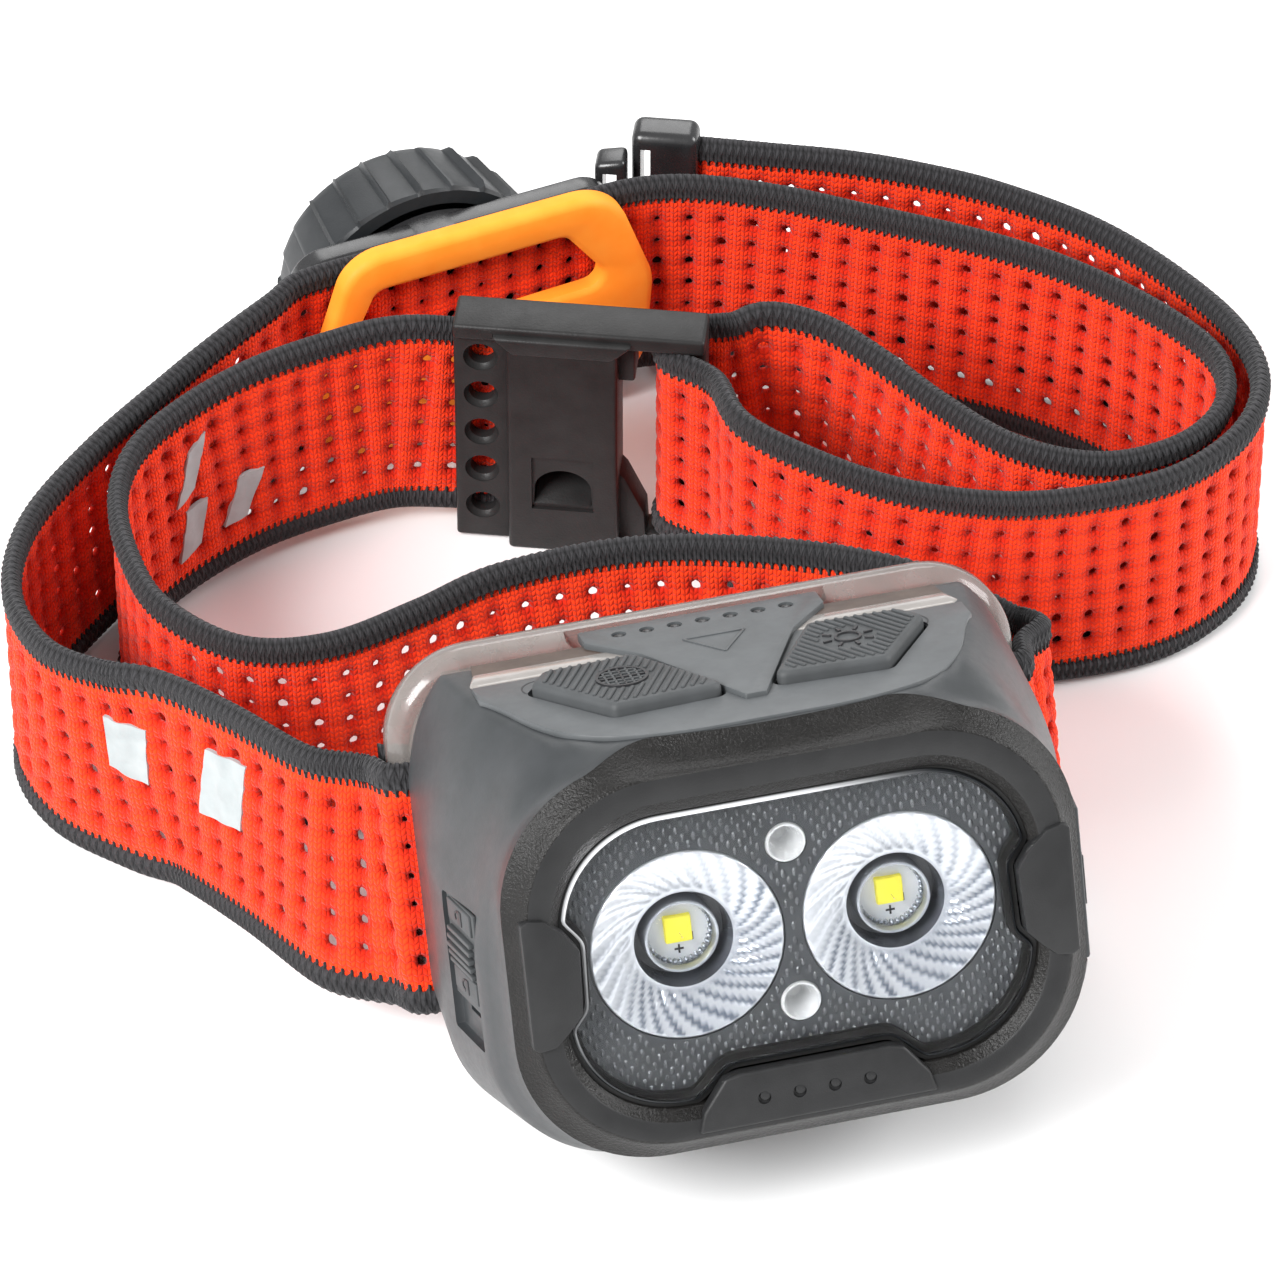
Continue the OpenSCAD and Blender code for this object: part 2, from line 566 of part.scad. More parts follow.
module dial_base() {
    color("#1d1e20") in_dial() difference() {
        union() {
            translate([-18, base_v, 2]) cube([35, base_plate_t, 24]);
            translate([dial_u, 0, dial_z]) turned(base_v, base_v + base_t, boss_r, boss_r - 0.4);
        }
        translate([dial_u, 0, dial_z]) turned(base_v + 1, base_v + base_t + 1, spool_r + 0.3, spool_r + 0.3);
        translate([dial_u, 0, dial_z]) turned(base_v - 1, base_v + 2, 1.5, 1.5);
        translate([dial_u - 9.3, base_v + 1, dial_z - 2]) cube([2, base_t, 4]);
        for (p = screw_places) translate([p.x, 0, p.y]) turned(0, 6, 1, 1);
    }
}
module dial_knob() {
    color("#26282b") in_dial() translate([dial_u, 0, dial_z]) difference() {
        turned(knob_v, knob_v + knob_h, knob_r, knob_r - 1.5);
        turned(knob_v - 1, knob_v + knob_h - 2, knob_r - 2.4, knob_r - 3.6);
        for (a = [0 : 15 : 345]) rotate([0, a, 0]) translate([0, knob_v, knob_r + 0.8]) rotate([-90, 0, 0])
            translate([0, 0, -1]) cylinder(h = knob_h + 3, r = 1.3, $fn = 24);
        turned(knob_v, knob_v + 20, 1.6, 1.6);
    }
}
module dial_spool() {
    color("#c9cbcd") in_dial() translate([dial_u, 0, dial_z]) difference() {
        union() {
            turned(base_v + 1.2, base_v + 2.3, spool_r, spool_r);
            turned(base_v + 2.3, knob_v + knob_h - 2.1, 4, 4);
        }
        turned(base_v, knob_v + knob_h, 1.6, 1.6);
    }
}
module dial_screw() {
    color("silver") in_dial() translate([dial_u, 0, dial_z]) {
        turned(base_v + 0.1, knob_v + knob_h + 0.2, 1.5, 1.5);
        turned(knob_v + knob_h + 0.2, knob_v + knob_h + 1.4, 2.6, 2.2);
    }
}
module pawl_spring() {
    color("lightsteelblue") in_dial() translate([dial_u - 8.7, base_v + 1.4, dial_z - 1.5]) cube([0.3, 1, 3]);
}

module plate_outline() {
    hull() for (p = [[-12.5, 6.5, 4.5], [-13.6, 12.5, 4.4], [-9.8, 23.4, 4.8], [11, 22.2, 6],
                     [13.5, 15, 6], [13, 8.2, 6]])
        translate([p.x, p.y]) circle(p[2], $fn = 32);
}
module head_plate() {
    color("#ff9420") in_dial() difference() {
        face_extrude(plate_v - plate_t, plate_v) plate_outline();
        face_extrude(-5, 1)
            hull() for (p = [[-11.5, 17.5, 1.8], [-9.6, 22.2, 1.6], [9, 22.2, 1.8], [12.2, 18, 1.6]])
                translate([p.x, p.y]) circle(p[2], $fn = 32);
        for (p = screw_places) translate([p.x, 0, p.y]) turned(screw_tip_v, 0, 1, 1);
    }
}
// Screws from the dial's base through the band into the back of the head plate
module plate_screws() {
    color("silver") in_dial() for (p = screw_places) translate([p.x, 0, p.y]) {
        turned(screw_tip_v, base_v + base_plate_t, 1, 1);
        turned(base_v + base_plate_t, base_v + base_plate_t + 0.8, 1.6, 1.4);
    }
}

front_bezel();
lens_window();
lens_gasket();
optic_mask();
optic_left();
optic_right();
red_reflectors();
white_leds();
red_leds();
led_board();
heat_sink();
heat_sink_screws();
housing_shell();
top_panel();
flood_button();
spot_button();
button_switches();
driver_board();
lock_slider();
lock_switch();
usb_port();
port_cover();
battery_pack();
battery_contacts();
cover_gasket();
rear_cover();
cover_screws();
bracket_frame();
tilt_pins();
detent_spring();
end_loop_left();
end_loop_right();
band_left();
band_left_turn();
band_back();
band_right_turn();
band_to_buckle();
band_fold();
band_tail_front();
band_tail_turn();
band_tail_back();
side_band_buckle();
side_band_turn();
side_band_front();
side_band_right();
buckle();
slide_adjuster();
band_keeper();
dial_base();
dial_knob();
dial_spool();
dial_screw();
pawl_spring();
head_plate();
plate_screws();
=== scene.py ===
"""A compact running headlamp on an elastic headband: its looks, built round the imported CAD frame.

Sizes are in millimetres in the tables and turned into metres where a mesh is made.
"""

import math

import bmesh
import bpy
import numpy as np
from mathutils import Matrix, Vector, kdtree


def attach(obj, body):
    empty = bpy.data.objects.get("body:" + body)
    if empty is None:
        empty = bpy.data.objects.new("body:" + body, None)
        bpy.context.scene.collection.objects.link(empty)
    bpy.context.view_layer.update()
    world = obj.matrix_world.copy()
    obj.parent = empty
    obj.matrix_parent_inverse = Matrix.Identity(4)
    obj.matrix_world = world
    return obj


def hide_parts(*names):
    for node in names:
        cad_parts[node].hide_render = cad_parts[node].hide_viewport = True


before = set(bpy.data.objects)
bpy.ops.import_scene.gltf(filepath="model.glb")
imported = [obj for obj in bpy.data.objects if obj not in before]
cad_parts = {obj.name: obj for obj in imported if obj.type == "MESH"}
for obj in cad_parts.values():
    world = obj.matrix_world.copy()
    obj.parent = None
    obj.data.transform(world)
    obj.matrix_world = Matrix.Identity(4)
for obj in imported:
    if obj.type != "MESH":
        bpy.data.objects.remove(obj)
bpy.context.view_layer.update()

MM = 0.001
LEAN = math.radians(23)
HINGE = (31.8, -19.5)  # the tilt's axis: depth and height in the lamp's frame, in mm
# Origins of the sub-frames, in mm: the lamp's face, the buckle, the dial and the slide adjuster
LAMP_AT = (-4.74, -58.83, math.sin(LEAN) * HINGE[0] - math.cos(LEAN) * HINGE[1] + 3)
BUCKLE_AT, BUCKLE_TURN = (-13.34, 37.27, 0), math.radians(-21)
DIAL_AT, DIAL_TURN = (-8.74, 52.37, 0), math.radians(9)
ADJUSTER_AT, ADJUSTER_TURN = (14.26, 60.37, 0), math.radians(-21)
BAND_SHIFT = np.array([-0.74, 1.17, 0.0])


def place(at, turn=0.0, lean=0.0):
    """The matrix of a sub-frame whose coordinates are in mm."""
    m = Matrix.Translation(Vector(at) * MM) @ Matrix.Rotation(turn, 4, "Z") @ Matrix.Rotation(-lean, 4, "X")
    return m @ Matrix.Scale(MM, 4)


LAMP = place(LAMP_AT, lean=LEAN)
BUCKLE = place(BUCKLE_AT, BUCKLE_TURN)
DIAL = place(DIAL_AT, DIAL_TURN)
ADJUSTER = place(ADJUSTER_AT, ADJUSTER_TURN)
WORLD = Matrix.Scale(MM, 4)

# ---------------------------------------------------------------- materials


class Paint:
    """A node material round one Principled shader. Distances in its textures are in mm."""

    def __init__(self, name, color, rough, **sockets):
        self.mat = bpy.data.materials.new(name)
        self.mat.use_nodes = True
        self.tree = self.mat.node_tree
        self.tree.nodes.clear()
        self.out = self.tree.nodes.new("ShaderNodeOutputMaterial")
        self.bsdf = self.tree.nodes.new("ShaderNodeBsdfPrincipled")
        self.link(self.bsdf.outputs[0], self.out.inputs[0])
        self.bsdf.inputs["Base Color"].default_value = (*color, 1)
        self.bsdf.inputs["Roughness"].default_value = rough
        for key, value in sockets.items():
            self.bsdf.inputs[key.replace("_", " ")].default_value = value
        self.mat.diffuse_color = (*color, 1)
        self.coords = None

    def link(self, a, b):
        self.tree.links.new(a, b)

    def node(self, kind, inputs=None, **props):
        n = self.tree.nodes.new("ShaderNode" + kind)
        for key, value in props.items():
            setattr(n, key, value)
        for key, value in (inputs or {}).items():
            if isinstance(value, bpy.types.NodeSocket):
                self.link(value, n.inputs[key])
            else:
                n.inputs[key].default_value = value
        return n

    def at(self, source="Object"):
        """Texture coordinates: the object's in mm, or the UVs as they are."""
        if self.coords is None:
            self.coords = self.node("TexCoord")
        factor = 1000 if source == "Object" else 1
        return self.node("Mapping",
                         {"Vector": self.coords.outputs[source], "Scale": [factor] * 3}).outputs[0]

    def noise(self, per_mm, detail=2, rough=0.5):
        return self.node("TexNoise", {"Vector": self.at(), "Scale": per_mm, "Detail": detail,
                                      "Roughness": rough}).outputs["Fac"]

    def maths(self, op, a, b=0.0):
        return self.node("Math", {0: a, 1: b}, operation=op).outputs[0]

    def ramp(self, value, low, high, out_low=0.0, out_high=1.0):
        return self.node("MapRange", {"Value": value, "From Min": low, "From Max": high, "To Min": out_low,
                                      "To Max": out_high}).outputs[0]

    def tint(self, value, low, high):
        """Base colour from low to high as value goes from 0 to 1."""
        mix = self.node("Mix", {"Factor": value}, data_type="RGBA")
        mix.inputs[6].default_value = (*low, 1)
        mix.inputs[7].default_value = (*high, 1)
        self.link(mix.outputs[2], self.bsdf.inputs["Base Color"])

    def roughness(self, value, low, high):
        self.link(self.ramp(value, 0, 1, low, high), self.bsdf.inputs["Roughness"])

    def bump(self, height, depth):
        """Relief from a height between 0 and 1 that stands for depth mm."""
        n = self.node("Bump", {"Height": height, "Strength": 1.0, "Distance": depth * MM})
        last = self.bsdf.inputs["Normal"].links
        if last:
            self.link(last[0].from_socket, n.inputs["Normal"])
        self.link(n.outputs[0], self.bsdf.inputs["Normal"])

    def attribute(self, name):
        return self.node("Attribute", attribute_name=name).outputs["Fac"]


def moulded(name, dark, light, rough, grain=0.0, grain_per_mm=4.0, **sockets):
    """Moulded plastic: a little colour variation, uneven gloss and, with grain, a spark-eroded skin."""
    p = Paint(name, dark, rough, **sockets)
    p.tint(p.ramp(p.noise(0.35, 4), 0.3, 0.7), dark, light)
    p.roughness(p.noise(1.3, 3), rough - 0.06, rough + 0.08)
    if grain:
        p.bump(p.noise(grain_per_mm, 3, 0.6), grain)
    return p


def knit(name, shade, lit, fine=1.25):
    """Knitted yarn on UVs that count stitches: V-shaped loops and fibres, with painted shade in the hollows
    and between the loops.
    """
    p = Paint(name, lit, 0.85, Sheen_Weight=0.1, Sheen_Roughness=0.4, Specular_IOR_Level=0.14)
    painted_light = p.attribute("painted_light")
    uv = p.node("SeparateXYZ", {"Vector": p.at("UV")})
    slope = p.maths("PINGPONG", uv.outputs[0], 0.5)
    course = p.maths("ADD", p.maths("MULTIPLY", uv.outputs[1], fine), p.maths("MULTIPLY", slope, 0.9))
    loop = p.maths("ABSOLUTE", p.maths("SINE", p.maths("MULTIPLY", course, math.pi)))
    wale = p.maths("ABSOLUTE", p.maths("SINE", p.maths("MULTIPLY", uv.outputs[0], 2 * math.pi)))
    stitch = p.maths("MULTIPLY", p.maths("POWER", loop, 0.5), p.maths("POWER", wale, 0.35))
    fibre = p.noise(6, 3, 0.6)
    height = p.maths("ADD", p.maths("MULTIPLY", stitch, 0.8), p.maths("MULTIPLY", fibre, 0.35))
    # painted shade: the yarn darkens in the knit's hollows and between its loops
    shade_by = p.maths("MULTIPLY", p.ramp(painted_light, 0.0, 0.75, 0.05, 1.0),
                       p.ramp(height, 0.15, 0.8, 0.35, 1.0))
    p.tint(shade_by, shade, lit)
    p.bump(height, 0.2)
    return p


# ---------------------------------------------------------------- meshes


def mesh_object(name, points, faces, matrix, paints, face_paint=None):
    """A mesh object at the origin with its place in its vertices, like the CAD nodes."""
    mesh = bpy.data.meshes.new(name)
    mesh.from_pydata([tuple(p) for p in np.asarray(points, float)], [],
                     [tuple(int(i) for i in f) for f in faces])
    mesh.transform(matrix)
    for paint in paints:
        mesh.materials.append(paint.mat)
    if face_paint is not None:
        mesh.polygons.foreach_set("material_index", np.asarray(face_paint, np.int32))
    mesh.polygons.foreach_set("use_smooth", [True] * len(mesh.polygons))
    mesh.update()
    obj = bpy.data.objects.new(name, mesh)
    bpy.context.scene.collection.objects.link(obj)
    return obj


def add(obj, body, slot, *nodes):
    """Hands a piece to the frame: the body it rides on and the CAD nodes it stands for, which it hides; its
    slot is not used.
    """
    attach(obj, body)
    if nodes:
        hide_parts(*nodes)
    return obj


# ---------------------------------------------------------------- camera, floor and light


def set_stage():
    scene = bpy.context.scene
    camera = bpy.data.objects.new("camera", bpy.data.cameras.new("camera"))
    scene.collection.objects.link(camera)
    camera.data.lens = 225
    camera.data.sensor_width = 36
    camera.location = Vector((-146.4, -546.1, 542.2)) * MM
    look = Vector((0.1844, 0.7078, -0.682))
    camera.rotation_euler = look.to_track_quat("-Z", "Y").to_euler()
    camera.data.clip_end = 10
    scene.camera = camera

    floor = mesh_object("floor", [(-3000, -3000, 0), (3000, -3000, 0), (3000, 3000, 0), (-3000, 3000, 0)],
                        [(0, 1, 2, 3)], WORLD, [Paint("floor_white", (0.86, 0.86, 0.86), 0.7)])

    world = bpy.data.worlds.new("studio")
    world.use_nodes = True
    world.node_tree.nodes["Background"].inputs["Color"].default_value = (1, 1, 1, 1)
    world.node_tree.nodes["Background"].inputs["Strength"].default_value = 0.74
    scene.world = world
    scene.view_settings.view_transform = "Standard"
    for name, where, size, power in (("key", (-700, -350, 700), 450, 17), ("back", (200, 800, 700), 600, 5),
                                     ("side", (900, -100, 450), 450, 8)):
        lamp = bpy.data.lights.new(name, "AREA")
        lamp.energy, lamp.size = power, size * MM
        obj = bpy.data.objects.new(name, lamp)
        obj.location = Vector(where) * MM
        obj.rotation_euler = (-obj.location).to_track_quat("-Z", "Y").to_euler()
        scene.collection.objects.link(obj)


set_stage()

# ---------------------------------------------------------------- the two elastic bands

HOLE_PITCH, ROW_PITCH, ROWS = 3.2, 2.85, 6
STITCH = HOLE_PITCH / 4


def on_route(matrix, x, y, z=0):
    """A sub-frame's point in the coordinates of the routes."""
    p = matrix @ Vector((x, y, z)) / MM
    return p.x - BAND_SHIFT[0], p.y - BAND_SHIFT[1], p.z


def from_lamp(x, y, z, lean=23):
    return (*on_route(LAMP, x, y, z), lean)


def from_buckle(u, v):
    return (*on_route(BUCKLE, u, v)[:2], 14, 0)


def from_adjuster(u, v):
    return (*on_route(ADJUSTER, u, v)[:2], 14, 0)


# Middle lines: x, y and height of the band's middle, and the lean of its width in degrees
BAR_LOOP = [(26.3, 34.2), (26.0, 31.6), (26.9, 29.7), (28.9, 29.4), (30.7, 30.2), (31.1, 32.4)]
LONG_ROUTE = [from_lamp(-x, y, -1.4) for x, y in [(30.6, 35.3), (28.4, 34.9)] + BAR_LOOP] + [
    from_lamp(-32.7, 34.1, -1.4), (-41, -25.5, 18, 21), (-46, -16, 16.5, 14), (-50.8, -8, 15, 8),
    (-55, -3.3, 13.5, 4), (-60.3, 3.5, 12.6, 0), (-62, 12, 12.6, 0), (-58.5, 21.5, 12.6, 0),
    (-50.5, 30, 13, 0), (-41, 37.4, 13.5, 0), (-34, 42.3, 14, 0), (-28.4, 46.2, 14, 0), (-25.6, 48.3, 14, 0),
    (-17, 49.8, 14, 0), (-8, 51.2, 14, 0), (2, 52.8, 14, 0), (9.8, 54, 14, 0), (16.5, 52.9, 14, 0),
    (24, 49.6, 13.8, 0), (31, 45.6, 13.4, 0), (44, 37.2, 13, 0), (52, 30, 12.6, 0), (57.8, 21.5, 12.6, 0),
    (60, 15, 12.6, 0), (58.2, 8.6, 12.6, 0), (52.5, 4.4, 12.6, 0), (44.5, 3.8, 12.6, 0), (37, 8, 12.8, 0),
    (31.5, 15.5, 13.2, 0),
    (27, 23, 14, 0), (23, 28.5, 14.4, 0), (18.5, 31.6, 14.4, 0), from_buckle(27.4, 5.5),
    from_buckle(23.6, 4.5),
    from_buckle(21.2, 3.5), from_buckle(20.3, 1.5), from_buckle(21.2, -0.6), from_buckle(23.6, -1.7),
    from_buckle(26.4, -3.6), (11.5, 16.5, 14.4, 0), (16.5, 10, 14.2, 0), (24, 4, 13.6, 0),
    (33, 0.6, 12.8, 0),
    (42, -0.6, 12.6, 0), (51, 0.2, 12.6, 0), (58.8, 4.6, 12.6, 0), (62.9, 11, 12.6, 0), (63.2, 19, 12.6, 0),
    (59.8, 28, 12.8, 0), (54, 37, 13.2, 0), (46, 44.7, 13.5, 0), (39, 49.3, 13.8, 0), (32.5, 52.7, 14, 0),
    (25.5, 55.7, 14, 0), from_adjuster(3.6, 0.7), from_adjuster(1.3, 0.7)]
SIDE_ROUTE = [from_buckle(4.6, 1.6), from_buckle(-0.8, 1.6), (-18.5, 38.9, 14.4, 0), (-25, 38.4, 14.2, 0),
              (-33, 36.6, 14, 0), (-40.5, 33.4, 13.4, 0), (-46.3, 29, 13, 0), (-49.5, 22.5, 12.6, 0),
              (-50, 14, 12.6, 0), (-48.4, 6.5, 12.6, 0), (-42.5, -0.6, 12.6, 0), (-34.3, -3, 12.8, 2),
              (-25, -1.6, 13.2, 5), (-16, 0, 14, 8), (-3, -1.4, 15, 12), (10, -6.8, 16, 16),
              (20, -13.6, 16.8, 18),
              from_lamp(31.2, 43, -0.8, 21), from_lamp(34.8, 38.6, -1.4), from_lamp(32, 35.2, -1.4)] + [
              from_lamp(x, y, -1.4) for x, y in BAR_LOOP[::-1] + [(28.4, 34.9), (30.4, 35.9)]]


class Band:
    """A band's middle line at even steps, with the directions along it, up its width and through it."""

    def __init__(self, route):
        p = np.array(route, float)
        p[:, 3] = np.radians(p[:, 3])
        ends = np.vstack([2 * p[0] - p[1], p, 2 * p[-1] - p[-2]])
        t = np.linspace(0, 1, 24, endpoint=False)[:, None]
        curve = []
        for a, b, c, d in zip(ends, ends[1:], ends[2:], ends[3:]):
            curve.append(0.5 * (2 * b + (c - a) * t + (2 * a - 5 * b + 4 * c - d) * t**2
                                + (3 * b - a - 3 * c + d) * t**3))
        curve = np.vstack(curve + [p[-1:]])
        curve = self.even(curve, 0.2)
        kernel = np.exp(-0.5 * (np.arange(-9, 10) / 4) ** 2)
        kernel /= kernel.sum()
        padded = np.vstack([np.repeat(curve[:1], 9, 0), curve, np.repeat(curve[-1:], 9, 0)])
        curve = np.stack([np.convolve(padded[:, k], kernel, "valid") for k in range(4)], 1)
        curve = self.even(curve, 0.2)
        self.points = curve[:, :3] + BAND_SHIFT
        self.s = np.concatenate([[0], np.cumsum(np.linalg.norm(np.diff(curve[:, :3], axis=0), axis=1))])
        along = np.gradient(curve[:, :3], axis=0)
        self.along = along / np.linalg.norm(along, axis=1)[:, None]
        lean = np.stack([0 * curve[:, 3], np.sin(curve[:, 3]), np.cos(curve[:, 3])], 1)
        up = lean - self.along * (lean * self.along).sum(1)[:, None]
        self.up = up / np.linalg.norm(up, axis=1)[:, None]
        self.inward = np.cross(self.along, self.up)
        self.length = self.s[-1]

    @staticmethod
    def even(curve, step):
        s = np.concatenate([[0], np.cumsum(np.linalg.norm(np.diff(curve[:, :3], axis=0), axis=1))])
        marks = np.linspace(0, s[-1], max(2, round(s[-1] / step)) + 1)
        return np.stack([np.interp(marks, s, curve[:, k]) for k in range(curve.shape[1])], 1)

    def at(self, s, t, h):
        """Points in mm at s along the band, t up its width and h towards the wearer's side."""
        look = [np.stack([np.interp(s, self.s, table[:, k]) for k in range(3)], -1)
                for table in (self.points, self.up, self.inward)]
        return look[0] + look[1] * np.asarray(t)[..., None] + look[2] * np.asarray(h)[..., None]


def tile():
    """One cell of the perforated knit on the unit square: rings from its hole out to its border."""
    border = [(k / 4, 0) for k in range(4)] + [(1, k / 4) for k in range(4)]
    border += [(1 - x, 1 - y) for x, y in border]
    border = np.array(border, float)
    offset = border - 0.5
    angle = np.arctan2(offset[:, 1] * ROW_PITCH, offset[:, 0] * HOLE_PITCH)
    reach = 1 / (np.abs(np.cos(angle) / 0.44) ** 3 + np.abs(np.sin(angle) / 0.5) ** 3) ** (1 / 3)
    reach = reach + 0.16 * np.exp(-((angle - math.pi / 2) / 0.35) ** 2)
    hole = 0.5 + np.stack([np.cos(angle) * reach / HOLE_PITCH, np.sin(angle) * reach / ROW_PITCH], 1)
    return border, hole


def knit_relief(x, y):
    """Pillows between the holes: 0 in the hollows to 1 at their tops, for cell coordinates x and y."""
    across = np.cos(math.pi * x) ** 2
    rise = np.abs(np.cos(math.pi * y)) ** 0.6
    return np.clip(across * (0.35 + 0.65 * rise) + 0.12, 0, 1)


def band_fabric(name, band, paint):
    """The perforated knit between the two edges, with every hole cut through."""
    border, hole = tile()
    n_cells = round(band.length / HOLE_PITCH)
    pitch = band.length / n_cells
    rng = np.random.default_rng(11)
    key, points, painted_light, faces, uvs = {}, [], [], [], []

    def vertex(s, t, h, r):
        k = (round(s * 200), round(t * 200), round(h * 50))
        if k not in key:
            key[k] = len(points)
            points.append((s, t, h))
            painted_light.append(r)
            uvs.append((s / STITCH, t / STITCH))
        return key[k]

    def skin(s, t, x, y, side, hollow=0.0):
        r = float(knit_relief(x, y)) * (1 - hollow)
        swell = 0.42 if side < 0 else 0.26
        return vertex(s, t, side * (0.42 + swell * r - 0.2 * hollow), r)

    low = -ROWS * ROW_PITCH / 2

    def plain(cell, sign, t, side):
        """A point beside the holes; the row at the outermost holes' border follows their relief."""
        if t == -low:
            return skin(cell * pitch, sign * t, cell, 0.0, side)
        return vertex(cell * pitch, sign * t, side * 0.52, 0.75)

    for i in range(n_cells):
        for row in range(ROWS):
            size = rng.uniform(0.55, 1.12)
            shift = rng.uniform(-0.03, 0.03, 2)
            rings = []
            for side in (-1, 1):
                ring_points = []
                for share, hollow in ((0.0, 1.0), (0.3, 0.35), (0.66, 0.0), (1.0, 0.0)):
                    inner = 0.5 + (hole - 0.5) * size + shift * (1 - share)
                    xy = inner + (border - inner) * share
                    ring_points.append([skin((i + x) * pitch, low
                                             + (row + y) * ROW_PITCH, x, y, side, hollow)
                                        for x, y in xy])
                rings.append(ring_points)
            n = len(border)
            for side, ring_points in zip((-1, 1), rings):
                for a, b in zip(ring_points, ring_points[1:]):
                    for k in range(n):
                        quad = (a[k], a[(k + 1) % n], b[(k + 1) % n], b[k])
                        faces.append(quad if side < 0 else quad[::-1])
            for k in range(n):
                a, b = rings[0][0], rings[1][0]
                faces.append((a[k], b[k], b[(k + 1) % n], a[(k + 1) % n]))
        # plain knit beside the holes, out to under the edges
        for sign in (-1, 1):
            for t0, t1 in ((-low, 9.6), (9.6, 11.2)):
                for k in range(4):
                    for side in (-1, 1):
                        quad = [plain(i + x, sign, t, side)
                                for x, t in ((k / 4, t0), ((k + 1) / 4, t0), ((k + 1) / 4, t1), (k / 4, t1))]
                        faces.append(quad if side * sign > 0 else quad[::-1])
    obj = mesh_object(name, band.at(*np.array(points).T), faces, WORLD, [paint])
    store(obj.data, painted_light, uvs)
    close_rims(obj)
    return obj


def store(mesh, painted_light, uvs):
    """Keeps the knit's relief for the shader, which paints shade with it, and UVs that count stitches."""
    mesh.attributes.new("painted_light", "FLOAT", "POINT").data.foreach_set("value", np.asarray(painted_light, np.float32))
    corners = np.zeros(len(mesh.loops), np.int32)
    mesh.loops.foreach_get("vertex_index", corners)
    layer = mesh.uv_layers.new(name="stitches")
    layer.data.foreach_set("uv", np.asarray(uvs, np.float32)[corners].ravel())


def close_rims(obj):
    """Joins a strip's two faces along its open borders."""
    bm = bmesh.new()
    bm.from_mesh(obj.data)
    rims = [e for e in bm.edges if e.is_boundary]
    middles = [(e.verts[0].co + e.verts[1].co) / 2 for e in rims]
    done = set()
    tree = kdtree.KDTree(len(rims))
    for k, middle in enumerate(middles):
        tree.insert(middle, k)
    tree.balance()
    for k, e in enumerate(rims):
        if k in done:
            continue
        for _, j, _ in tree.find_n(middles[k], 8):
            other = rims[j]
            if j == k or j in done or set(e.verts) & set(other.verts):
                continue
            a, b = e.verts
            c, d = other.verts
            if (a.co - c.co).length + (b.co - d.co).length > (a.co - d.co).length + (b.co - c.co).length:
                c, d = d, c
            if ((b.co - a.co).normalized().dot((d.co - c.co).normalized())) > 0.8:
                bm.faces.new((a, b, d, c)).smooth = True
                done |= {k, j}
                break
    bm.to_mesh(obj.data)
    bm.free()


EDGE_ROWS = 5


def rim_loops(band, sign):
    """One knitted edge as points, loop heights for the painted shade, UVs and faces: rows of loops wrapped
    over the rim.
    """
    s = np.linspace(0, band.length, round(band.length / 0.2) + 1)
    # the rim's outline, from the wearer's side over its top: place up the width and half thickness
    outline = np.array([(9.95, 0.35), (10.0, 0.66), (10.35, 0.84), (10.8, 0.92), (11.3, 0.92), (11.75, 0.84),
                        (12.15, 0.66), (12.4, 0.42), (12.5, 0.14)])
    outline = np.vstack([outline, outline[::-1] * (1, -1)])
    m = len(outline)
    q = np.linspace(0, 1, m)
    lobe = np.abs(np.sin(math.pi * (q * EDGE_ROWS))) ** 0.55
    slant = np.where((q * EDGE_ROWS).astype(int) % 2 == 0, 1, -1) * ((q * EDGE_ROWS) % 1)
    push = np.stack([np.gradient(outline[:, 1]), np.gradient(outline[:, 0])], 1)
    push /= np.linalg.norm(push, axis=1)[:, None]
    push[((outline - (11.2, 0)) * push).sum(1) < 0] *= -1
    phase = s[:, None] / STITCH + 0.55 * slant
    height = lobe * np.abs(np.sin(math.pi * phase)) ** 0.6
    teeth = np.where((q < 0.06) | (q > 0.94), 0.32, 0.0) * np.cos(2 * math.pi * phase)
    t = outline[:, 0] + push[:, 0] * (height - 0.5) * 0.4 - teeth
    h = outline[:, 1] + push[:, 1] * (height - 0.5) * 0.4
    points = band.at(np.repeat(s, m), (sign * t).ravel(), h.ravel())
    uvs = np.stack([np.repeat(s, m) / STITCH, np.tile(q * EDGE_ROWS, len(s))], 1)
    index = np.arange(len(s) * m).reshape(len(s), m)
    a, b = index[:-1], index[1:]
    quads = np.stack([a, b, np.roll(b, -1, axis=1), np.roll(a, -1, axis=1)], -1).reshape(-1, 4)
    if sign < 0:
        return points, height.ravel(), uvs, [*quads, index[0][::-1], index[-1]]
    return points, height.ravel(), uvs, [*quads[:, ::-1], index[0], index[-1][::-1]]


def edge_bars(band, sign, side):
    """Dark bars of yarn that reach from one edge into the red on one face, as points to faces."""
    count = round(band.length / STITCH)
    where = (np.arange(count) + 0.5) * band.length / count
    bar = np.array([(-0.2, 10.3, 0.3), (0.2, 10.3, 0.3), (0.15, 9.35, 0.3), (-0.15, 9.35, 0.3),
                    (-0.12, 10.2, 0.72), (0.12, 10.2, 0.72), (0.09, 9.5, 0.7), (-0.09, 9.5, 0.7)])
    sides = np.array([(0, 1, 5, 4), (1, 2, 6, 5), (2, 3, 7, 6), (3, 0, 4, 7), (4, 5, 6, 7), (3, 2, 1, 0)])
    reach = 1 + 0.03 * np.cos(where * 5.1 + side)
    s = (where[:, None] + bar[:, 0]).ravel()
    t = (sign * (10.3 - (10.3 - bar[:, 1]) * reach[:, None])).ravel()
    points = band.at(s, t, side * np.tile(bar[:, 2], count))
    # values for painted shade: darker at the bars' feet than on their tops
    painted_light = np.tile([0.1] * 4 + [0.5] * 4, count)
    quads = (8 * np.arange(count)[:, None, None] + sides).reshape(-1, 4)
    return points, painted_light, np.stack([s, t], 1) / STITCH, quads if sign * side > 0 else quads[:, ::-1]


